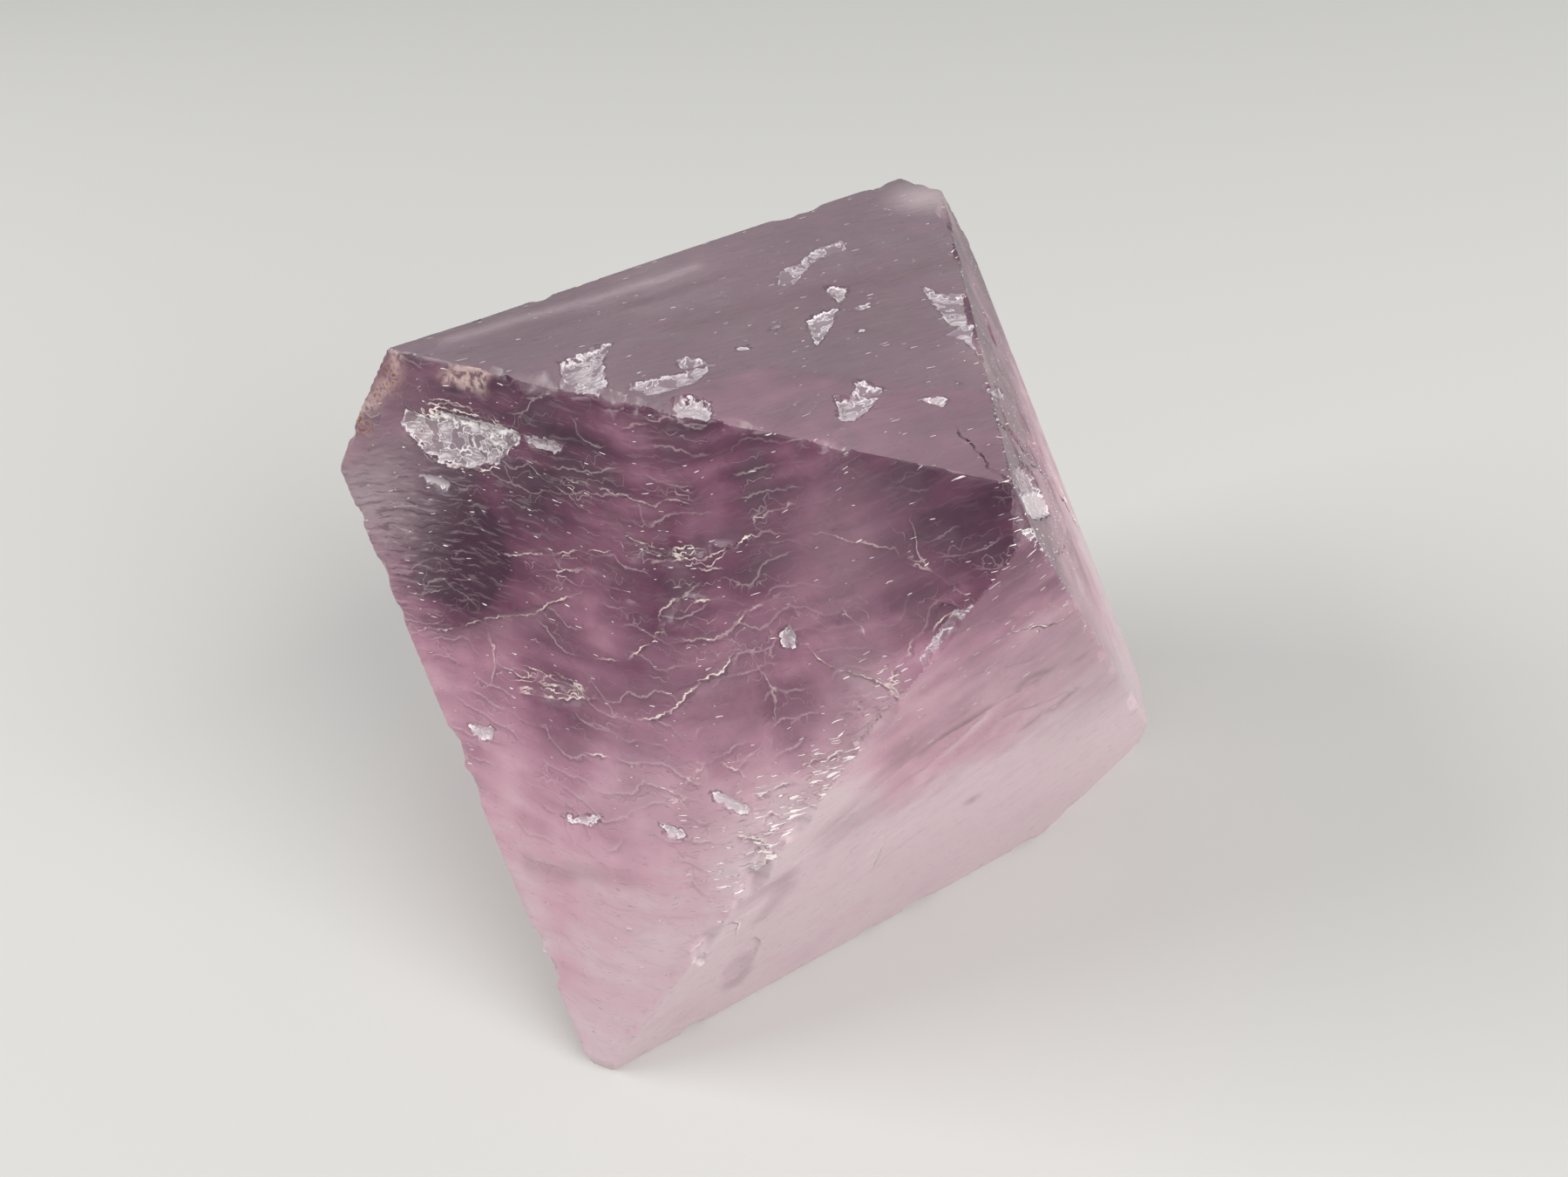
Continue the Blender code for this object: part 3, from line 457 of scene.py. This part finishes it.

# seam: distance to the nearest step line, pale: how white that line's edge is and how dark the painted
# shadow below it;
# scar: distance inside the nearest scar, white: how white its floor is, which also sets the painted shadow
# and highlights at its rim
seam, pale = np.full(len(u), FAR), np.zeros(len(u))
for name, path, _, strength in STEPS:
    rows = np.flatnonzero(near == number[name])
    dist, side, ends = to_path(u[rows] + wander_u[rows], v[rows] + wander_v[rows], path)
    closer = dist < np.abs(seam[rows])
    seam[rows] = np.where(closer, dist * side, seam[rows])
    pale[rows] = np.where(closer, strength * ends * lump[rows], pale[rows])
scar, white = np.full(len(u), -FAR), np.zeros(len(u))
for name, outline, strength in SCARS:
    rows = np.flatnonzero(near == number[name])
    dist = inside(u[rows], v[rows], outline)
    closer = dist > scar[rows]
    scar[rows] = np.where(closer, dist, scar[rows])
    white[rows] = np.where(closer, strength, white[rows])
broken = np.clip((deep - 0.10) / 0.25, 0, 1)
seen = np.isin(near, [number[n] for n in ("top", "main", "skirt", "narrow")])
hidden = ~seen & (near != number["rest"])
scar = np.where(hidden, np.clip((deep - 0.20) * 4, -3, 1), scar)
white = np.where(hidden, 0.45, white)


def blobs(spots):
    """Sum of soft round spots: face, u, v, radius in mm, amount."""
    total = np.zeros(len(points))
    for name, at_u, at_v, radius, amount in spots:
        middle = np.array(faces[number[name]].at(at_u, at_v))
        total += amount * np.exp(-((points - middle) ** 2).sum(1) / radius ** 2)
    return total


def bands(lines):
    """Sum of soft streaks: face, path, half width in mm, amount."""
    total = np.zeros(len(points))
    for name, path, half, amount in lines:
        rows = np.flatnonzero(near == number[name])
        dist, _, ends = to_path(u[rows] + 0.6 * wander_u[rows], v[rows] + 0.6 * wander_v[rows], path)
        total[rows] += amount * np.exp(-(dist / half) ** 2) * ends
    return total


# violet: depth of the colour zones, more with height, with clouds, streaks and spots; less on the skirt as
# painted light
FOOT, RISE = 6, 30           # mm, where the colour starts to deepen and over what height
height = points[:, 2]
upper = np.clip((height - FOOT) / RISE, 0, 1)
violet = 0.02 + 0.84 * upper ** 1.15 + (0.08 + 0.22 * upper) * cloud + (0.05 + 0.10 * upper) * wisp
calm = np.isin(near, [number["skirt"], number["top"]])
violet += (0.05 + 0.14 * upper) * streak * np.where(calm, 0.3, 1)
violet += blobs([("main", -11.0, 4.5, 3.8, 0.72), ("main", -3.0, 12.0, 6.0, 0.12),
                 ("main", 19.4, 11.5, 3.4, 0.22), ("main", 16.6, 8.2, 1.6, 0.22),
                 ("main", 13.2, 10.2, 3.6, -0.24), ("main", 8.2, 8.0, 2.2, 0.08),
                 ("main", -13.1, 1.6, 2.6, 0.26), ("main", -5.5, 8.4, 2.2, 0.14),
                 ("main", -6.6, 5.1, 2.4, -0.24), ("main", 11.0, 13.0, 2.8, -0.22),
                 ("main", -9.2, 8.6, 2.4, -0.14), ("main", -17.1, 9.1, 2.4, 0.10),
                 ("top", 15.5, -10.2, 3.5, -0.12),
                 ("skirt", 5.6, 12.3, 4.5, -0.14), ("skirt", 10.5, 6.0, 5.0, -0.16),
                 ("main", 3.0, 6.0, 2.2, 0.34), ("main", -3.5, -2.6, 2.8, 0.34),
                 ("main", 2.0, 2.0, 3.4, 0.26), ("main", -15.0, 3.0, 3.0, -0.14),
                 ("main", -17.0, 8.0, 4.0, -0.12), ("main", 9.0, 9.0, 3.4, -0.10),
                 ("main", -1.5, 2.6, 2.2, -0.10), ("main", 12.5, -2.5, 3.5, -0.16),
                 ("main", -9.0, -5.0, 4.0, -0.06), ("main", 9.5, -8.5, 4.5, -0.18),
                 ("main", -3.7, -15.2, 2.0, 0.12), ("main", -3.0, -19.8, 1.8, 0.16),
                 ("main", 3.5, -1.0, 4.0, 0.12), ("narrow", -3.9, -2.5, 3.0, 0.20)])
# the skirt face is painted paler than its height gives, standing in for the light that glows through it and
# bounces up from the floor
violet -= np.where(near == number["skirt"], 0.17 * np.clip((height - 2) / 12, 0.2, 1), 0)
violet -= np.where(near == number["narrow"], 0.26 - 0.20 * upper, 0)
pink_corner = inside(u + wander_u * 0.4, v + wander_v * 0.4, [
    (1.4, -10.8), (2.5, -7.8), (5.3, -5.4), (9.7, -5.2), (17.5, -4.0), (24.0, -14.0), (4.0, -14.0)])

# haze: how far the grey cloudiness of the skin covers the colour; on the top face it is partly a grey veil
# and partly a painted reflection of the pale sky, which also takes some violet out there
top = near == number["top"]
haze_and_sheen = np.where(top, 0.72 - 0.20 * np.clip(pink_corner / 0.6, 0, 1), 0.04)
haze_and_sheen += np.where(near == number["narrow"], 0.15 * upper ** 2, 0.10 * np.clip(2 * wisp * upper, 0, 1))
haze_and_sheen += np.where(near == number["skirt"], 0.18 * np.clip(1.2 - 2 * upper, 0, 1), 0)
violet -= np.where(top, 0.06 + 0.27 * np.clip(pink_corner / 0.6, 0, 1), 0)
haze_and_sheen += blobs([("main", -16.5, 5.0, 4.0, 0.45), ("main", -16.0, 9.5, 4.0, 0.40),
               ("main", -19.2, 6.5, 2.6, 0.45), ("main", -11.2, 4.2, 3.6, -0.18),
               ("main", 13.2, 10.2, 3.6, 0.30), ("main", 7.0, 0.0, 4.0, 0.12),
               ("skirt", 5.6, 12.3, 5.0, 0.42), ("skirt", 10.5, 6.0, 5.0, 0.38),
               ("skirt", -0.5, 14.0, 4.0, 0.20)])

# smoke: veils in the stone, dark where above zero and milky where below
smoke = bands([("skirt", [(-3.4, 8.6), (-1.1, 9.6), (1.8, 10.3)], 0.45, 0.55),
               ("skirt", [(2.8, 10.4), (3.2, 11.3), (3.8, 11.5), (5.8, 10.8)], 0.25, 0.55),
               ("skirt", [(6.4, 10.4), (8.2, 10.7)], 0.30, 0.60),
               ("skirt", [(8.0, 11.1), (9.4, 11.4)], 0.25, 0.40),
               ("skirt", [(4.0, 5.4), (6.7, 6.2), (8.8, 7.4)], 0.25, 0.50),
               ("skirt", [(1.5, -0.5), (3.4, -0.8)], 0.45, 0.60),
               ("skirt", [(-2.2, 4.4), (-1.3, 5.8)], 0.18, 0.40),
               ("skirt", [(-14.4, 1.2), (-12.0, 1.9), (-9.8, 2.6)], 0.9, 0.45),
               ("skirt", [(-12.6, -2.4), (-11.2, 0.0), (-10.0, 1.6)], 0.8, 0.35),
               ("skirt", [(-2.9, 6.0), (0.6, 8.0), (1.9, 9.3)], 0.30, -0.50),
               ("skirt", [(-5.6, -2.6), (-3.2, -0.9), (-0.7, 0.6)], 0.40, -0.30),
               ("main", [(-6.8, -13.7), (-3.8, -13.4), (-0.6, -12.4), (3.3, -11.8)], 0.7, 0.28),
               ("main", [(4.1, -12.8), (5.2, -13.3), (6.6, -13.0)], 0.5, 0.20),
               ("main", [(9.3, 0.6), (7.4, -2.2), (6.4, -4.0)], 0.35, 0.30),
               ("main", [(1.5, -22.6), (4.7, -16.8), (5.7, -15.1)], 0.12, 0.35),
               ("skirt", [(-14.3, 1.9), (-13.2, 3.2), (-11.8, 6.4)], 0.25, 0.35),
               ("main", [(6.2, -3.2), (6.3, -3.7)], 0.12, 1.6),
               ("top", [(-14.5, -9.6), (-9.0, -2.0), (-5.0, 4.4)], 0.5, -0.35),
               ("top", [(-12.5, -10.4), (-6.2, -1.6), (-2.6, 4.0)], 0.4, 0.25),
               ("top", [(-3.0, -4.6), (4.0, 3.8), (9.5, 9.5)], 1.2, 0.25)])
smoke += np.where(near == number["skirt"], 0.12 * streak - 0.04, 0) - 0.15 * broken
patch = inside(u + 0.5 * wander_u, v + 0.5 * wander_v, [
    (-14.7, -7.3), (-13.7, -5.3), (-13.1, -4.7), (-11.8, -5.7), (-11.8, -8.9), (-12.8, -10.6),
    (-14.5, -9.9)])
smoke += np.where(near == number["skirt"], 0.35 * np.clip(patch / 0.6, 0, 1), 0)
smoke += blobs([("skirt", -8.4, 5.9, 3.0, 0.40), ("skirt", -0.4, 5.7, 4.0, 0.12),
                ("skirt", -4.0, 10.3, 2.4, 0.36), ("skirt", 13.4, -0.7, 3.5, -0.34),
                ("skirt", -1.5, 19.4, 2.2, 0.22), ("skirt", -5.5, 5.1, 2.4, 0.14),
                ("skirt", -7.0, -7.1, 4.0, -0.22), ("skirt", -17.0, -4.5, 2.6, -0.22),
                ("top", 6.0, 2.0, 5.0, 0.34), ("top", 0.0, 14.0, 4.5, 0.20),
                ("top", 3.2, -8.2, 2.6, 0.30), ("top", -1.7, -7.4, 2.0, 0.25),
                ("main", -4.6, -18.6, 0.7, -0.9),
                ("top", -5.8, 0.6, 4.0, -0.12), ("top", 3.0, 17.2, 2.4, -0.80),
                ("top", 15.6, 0.6, 1.9, -0.40)])
smoke -= np.where(near == number["main"], 0.20 * np.clip(1 - height / 10, 0, 1), 0)
smoke -= blobs([("main", 14.6, -1.2, 2.2, 0.40), ("main", 12.4, -4.6, 2.4, 0.50),
                ("main", 9.0, -7.6, 3.0, 0.55), ("main", 6.0, -14.5, 3.5, 0.35),
                ("main", 15.0, 3.0, 2.4, 0.22), ("main", 2.0, -7.0, 3.5, 0.20),
                ("main", -19.2, 6.0, 2.2, 0.20)])

# peach: thin iron film; iron: rust spots; dash: how clearly the fine fibres show
rough_strip = bands([("main", [(-15.6, 15.7), (-16.1, 14.7), (-16.3, 13.7), (-17.2, 12.8), (-18.1, 12.0),
                               (-19.4, 11.2), (-19.7, 10.7)], 0.50, 1.0)])
iron = blobs([("main", -16.5, 13.6, 0.7, 1.0), ("main", -17.7, 12.4, 0.5, 1.0),
              ("main", -19.5, 10.8, 0.8, 1.0), ("main", -18.6, 10.4, 0.5, 0.8)])
peach = inside(u + wander_u, v + wander_v, [
    (-12.9, 14.1), (-10.7, 15.6), (-9.0, 15.4), (-9.5, 13.8), (-12.3, 13.7)])
peach = np.where(near == number["main"], np.clip(peach / 0.5 + 0.5, 0, 1), 0)
peach = np.maximum(peach, rough_strip)
peach = np.maximum(peach, 0.8 * broken * blobs([("main", -18.6, 12.2, 4.0, 1.0)]))
dash = np.where(near == number["main"], blobs([("main", -15.5, 4.0, 5.0, 1.0),
                                              ("main", -10.0, 8.0, 4.5, 0.35),
                                              ("main", -2.0, 11.5, 5.0, 0.4)]) + 0.15, 0.10)
dash = np.clip(np.where(top, 0.18, dash), 0, 1)

# spark: small white splinters, most of them on the worn ridge of the main face, each with a painted glint
# and a painted shadow around it;
# crest: how pale the walls of the terraces are, and how dark the painted shade at their foot
splinters_and_glints = np.where(near == number["main"], blobs([
    ("main", 15.4, 0.6, 1.8, 0.8), ("main", 13.4, -2.2, 1.8, 0.9), ("main", 11.6, -4.8, 1.7, 0.9),
    ("main", 9.8, -7.4, 1.7, 0.8), ("main", 8.0, -10.4, 1.6, 0.6), ("main", 16.4, 4.2, 1.5, 0.5),
    ("main", -5.5, -2.0, 2.2, 0.2), ("main", 3.4, 7.6, 1.8, 0.25), ("main", -13.5, 6.5, 5.0, 0.16),
    ("main", -6.0, 10.0, 4.5, 0.16), ("main", 5.0, -6.0, 2.5, 0.25)]), 0.04)
splinters_and_glints += blobs([("narrow", -4.0, 1.0, 4.0, 0.35), ("narrow", -21.5, 12.0, 3.0, 0.40)])
splinters_and_glints += np.where((near == number["narrow"]) & (v > -2), 0.25, 0) + 0.30 * ridge * lump
splinters_and_glints += 0.20 * np.abs(pale) * np.exp(-(seam / 0.55) ** 2)
crest_and_shade = np.array([{"main": 0.36, "top": 0.08, "narrow": 0.20}.get(f.name, 0.10) for f in faces])[near]
crest_and_shade *= np.clip(0.4 + 2.0 * wisp, 0, 1) * (1 - np.clip(blobs([
    ("main", 14.5, 8.0, 5.0, 0.8), ("main", 14.0, 13.0, 4.0, 0.7), ("main", -10.5, 5.0, 4.5, 0.6)]), 0, 1))
crest_and_shade *= np.clip((height - 7) / 8, 0, 1)


def keep(name, x, y, z):
    """Store three values per triangle corner for the material."""
    layer = skin.data.attributes.new(name, "FLOAT_VECTOR", "CORNER")
    layer.data.foreach_set("vector", np.stack([x, y, z], 1).astype(np.float32).ravel())


along, across = lie(near, u, v)
keep("tone", violet, haze_and_sheen, smoke)
keep("steps", seam, pale, splinters_and_glints)
keep("scars", scar, white, iron)
keep("walls", wall, crest_and_shade, peach)
keep("grain", along + 0.8 * wander_u, across + 0.8 * wander_v, dash)


# amethyst: quartz coloured by iron, grown in zones, cleaved and worn. The worn skin
# is slightly rough and clouded, so the eye sees colour at the surface and a dim
# clearness under it; the breaks are whiter and duller and let little light in.
amethyst = bpy.data.materials.new("amethyst_quartz")
amethyst.use_nodes = True
tree = amethyst.node_tree
tree.nodes.clear()


def add(kind, links=(), out=0, **settings):
    """Add a node with its settings, fill or link its inputs, and give one output."""
    item = tree.nodes.new(kind)
    for key, value in settings.items():
        setattr(item, key, value)
    for slot, value in links:
        if isinstance(value, bpy.types.NodeSocket):
            tree.links.new(value, item.inputs[slot])
        else:
            item.inputs[slot].default_value = value
    return item.outputs[out] if item.outputs else None


kept = []
for name in ("tone", "steps", "scars", "walls", "grain"):
    vector = add("ShaderNodeAttribute", out="Vector", attribute_name=name)
    kept.append(add("ShaderNodeSeparateXYZ", [(0, vector)]).node.outputs)
tone, steps, scars, walls, grain = kept

# noises in the stone and along its grain; the last three numbers are waves per mm
spot = add("ShaderNodeVectorMath", [(0, add("ShaderNodeTexCoord", out="Object")), (1, (1 / MM,) * 3)],
           operation="MULTIPLY")
line_spot = add("ShaderNodeCombineXYZ", [(0, grain[0]), (1, grain[1])])
noises = []
for vector, flat, detail, waves in ((spot, "3D", 2, (2.8, 2.8, 2.8)), (line_spot, "2D", 2, (0.55, 4.2, 1)),
                                    (line_spot, "2D", 1, (1.0, 8.0, 1)), (spot, "3D", 2, (1.2, 1.2, 1.2))):
    spread = add("ShaderNodeVectorMath", [(0, vector), (1, waves)], operation="MULTIPLY")
    noises.append(add("ShaderNodeTexNoise", [("Vector", spread), ("Scale", 1.0), ("Detail", detail)],
                      "Fac", noise_dimensions=flat))
fine, fibre, splinter, flake = noises

# distances in mm, made ragged by the fine noise: to a terrace wall, a step, a scar's rim
ripple = add("ShaderNodeMath", [(0, fine), (1, 0.5)], operation="SUBTRACT")
ragged = []
for distance, amount in ((walls[0], 0.30), (steps[0], 0.40), (scars[0], 0.65)):
    ragged.append(add("ShaderNodeMath", [(0, ripple), (1, amount), (2, distance)],
                      operation="MULTIPLY_ADD"))
wall_gap, step_gap, rim_gap = ragged

# thin lines: source, its value at the line's middle, where the line starts to fade in
# and is full, strength
line = {}
# the lines at the foot of terraces, steps and scar rims are painted shadow; the crease and rim lines are
# painted highlights
for name, source, middle, start, full, strength in (
        ("terrace", wall_gap, 0.0, 0.06, 0.02, 1.0), ("terrace shadow", wall_gap, -0.13, 0.12, 0.02, 0.6),
        ("step", step_gap, 0.0, 0.06, 0.02, 1.0), ("step shadow", step_gap, -0.14, 0.12, 0.03, 0.5),
        ("crack", step_gap, 0.0, 0.10, 0.03, -1.0), ("ring", step_gap, 0.0, 0.13, 0.05, 1.0),
        ("crease", flake, 0.5, 0.022, 0.006, 1.0), ("rim", rim_gap, 0.03, 0.08, 0.03, 1.0),
        ("rim shadow", rim_gap, -0.08, 0.08, 0.03, 0.55)):
    off = add("ShaderNodeMath", [(0, source), (1, middle)], operation="SUBTRACT")
    gap_size = add("ShaderNodeMath", [(0, off)], operation="ABSOLUTE")
    line[name] = add("ShaderNodeMapRange", [("Value", gap_size), ("From Min", start), ("From Max", full),
                                            ("To Min", 0.0), ("To Max", strength)])

# shares that follow a noise or a kept value: source, from, to, share at from, share at to
# white splinters, each with a painted glint and, just around it, a painted shadow
chip = add("ShaderNodeMath", [(0, steps[2]), (1, 0.22), (2, splinter)], operation="MULTIPLY_ADD")
share = {}
for name, source, start, end, low, high in (
        ("fibre pull", grain[2], 0, 1, 0.05, 0.22), ("smoke", tone[2], 0, 1, 0, 1),
        ("milk", tone[2], 0, -1, 0, 1), ("dark fibre", fibre, 0.45, 0.34, 0, 0.55),
        ("pale fibre", fibre, 0.58, 0.68, 0, 0.32), ("chip foot", chip, 0.735, 0.785, 0, 0.5),
        ("chip", chip, 0.80, 0.83, 0, 0.95), ("in scar", rim_gap, -0.03, 0.03, 0, 1),
        ("flake glint", flake, 0.48, 0.60, 0, 0.8), ("hatch", splinter, 0.40, 0.56, 0.35, 1.0),
        ("rim break", flake, 0.40, 0.52, 0.25, 1.0), ("foot break", flake, 0.42, 0.52, 0.3, 1.0),
        ("white fill", scars[1], 0.7, 1.0, 0, 0.45), ("floor", scars[1], 0, 1, 0.12, 0.60),
        ("frost_and_glint", scars[1], 0, 0.8, 0.3, 0.95), ("rim shadow strength", scars[1], 0.3, 0.8, 0, 1),
        ("film", fine, 0.36, 0.54, 0.15, 0.70), ("rust", fine, 0.44, 0.52, 0, 1),
        ("pit", fine, 0.54, 0.60, 0, 1)):
    share[name] = add("ShaderNodeMapRange", [("Value", source), ("From Min", start), ("From Max", end),
                                             ("To Min", low), ("To Max", high)])

# masks: shares multiplied together, and the strongest of several
mask = {}
for name, first, *others in (
        ("dark fibre", share["dark fibre"], grain[2]), ("pale fibre", share["pale fibre"], grain[2]),
        ("terrace shadow", line["terrace shadow"], walls[1]), ("terrace", line["terrace"], walls[1]),
        ("step shadow", line["step shadow"], steps[1]), ("step", line["step"], steps[1]),
        ("crack", line["crack"], steps[1]), ("glint", share["flake glint"], share["hatch"]),
        ("rim", line["rim"], share["rim break"]), ("floor", share["in scar"], share["floor"]),
        ("rim shadow", line["rim shadow"], share["rim shadow strength"], share["foot break"]),
        ("ring", line["ring"], steps[1], share["in scar"]), ("film", share["film"], walls[2]),
        ("rust", share["rust"], scars[2]), ("pit", share["pit"], scars[2])):
    for other in others:
        first = add("ShaderNodeMath", [(0, first), (1, other)], operation="MULTIPLY")
    mask[name] = first
# the painted shadow below the steps joined with the dark cracks; then painted highlights on the creases,
# glints and rims of the scars, joined with their white fill
for name, first, *others in (
        ("step shadow and crack", mask["step shadow"], mask["crack"]),
        ("lit", line["crease"], mask["glint"], mask["rim"], share["white fill"])):
    for other in others:
        first = add("ShaderNodeMath", [(0, first), (1, other)], operation="MAXIMUM")
    mask[name] = first
# frosted scar floors: white frost that carries these painted highlights
frost_and_glint = add("ShaderNodeMath", [(0, share["in scar"]), (1, mask["lit"])], operation="MULTIPLY")
mask["frost_and_glint"] = add("ShaderNodeMath", [(0, frost_and_glint), (1, share["frost_and_glint"])], operation="MULTIPLY")

# colour of the zones: pale pink at the foot to deep purple high up
pull = add("ShaderNodeMath", [(0, fibre), (1, 0.5)], operation="SUBTRACT")
zone = add("ShaderNodeMath", [(0, pull), (1, share["fibre pull"]), (2, tone[0])], operation="MULTIPLY_ADD")
colour = add("ShaderNodeValToRGB", [("Fac", zone)])
stops = colour.node.color_ramp
stops.elements[0].position, stops.elements[0].color = 0.0, linear("#F8E2E8")
stops.elements[1].position, stops.elements[1].color = 1.0, linear("#401835")
for depth_of_zone, code in ((0.18, "#ECBECE"), (0.38, "#C892A9"), (0.58, "#9B6880"), (0.78, "#6E3A57")):
    stops.elements.new(depth_of_zone).color = linear(code)

# laid over it, in order: haze, partly a painted sky reflection on the top face; smoky and milky veils,
# fibres, terraces with painted shade at their foot, steps with painted shadow below them and cracks,
# splinters with painted glints and shadows, scars with painted rim shadow and highlights, iron film and
# rust
for over, code in (
        (tone[1], "#A9989F"), (share["smoke"], "#7A646C"), (share["milk"], "#F2E2E5"),
        (mask["dark fibre"], "#40203A"), (mask["pale fibre"], "#D9CCD0"),
        (mask["terrace shadow"], "#4E3444"), (mask["terrace"], "#EBD8DA"),
        (mask["step shadow and crack"], "#3E2838"), (mask["step"], "#F2E2DA"),
        (share["chip foot"], "#3E2838"), (share["chip"], "#F5EDEA"),
        (mask["rim shadow"], "#3E2838"), (mask["floor"], "#AFA2AC"), (mask["frost_and_glint"], "#F4F0F1"),
        (mask["ring"], "#FBF8F5"), (mask["film"], "#DCC2B8"), (mask["rust"], "#A5735A"),
        (mask["pit"], "#43291F")):
    colour = add("ShaderNodeMix", [(0, over), (6, colour), (7, linear(code))], 2, data_type="RGBA")

# what is broken or stained is duller and lets less light in
faint_terrace = add("ShaderNodeMath", [(0, mask["terrace"]), (1, 0.5)], operation="MULTIPLY")
faint_floor = add("ShaderNodeMath", [(0, mask["floor"]), (1, 0.5)], operation="MULTIPLY")
dull = mask["step"]
for other in (share["chip"], faint_terrace, mask["frost_and_glint"], faint_floor, mask["film"], mask["rust"]):
    dull = add("ShaderNodeMath", [(0, dull), (1, other)], operation="MAXIMUM")
finish = []
for fresh, dulled in ((0.34, 0.55), (0.48, 0.05)):
    finish.append(add("ShaderNodeMapRange", [("Value", dull), ("To Min", fresh), ("To Max", dulled)]))
shader = add("ShaderNodeBsdfPrincipled", [
    ("Base Color", colour), ("IOR", 1.544), ("Specular IOR Level", 0.35),
    ("Roughness", finish[0]), ("Transmission Weight", finish[1])])
inside_stone = add("ShaderNodeVolumeAbsorption", [("Color", linear("#C495B8")), ("Density", 13.0)])
add("ShaderNodeOutputMaterial", [("Surface", shader), ("Volume", inside_stone)])
skin.data.materials.clear()
skin.data.materials.append(amethyst)
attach(skin, "root")
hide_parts("amethyst_crystal")

low, high = cad_box
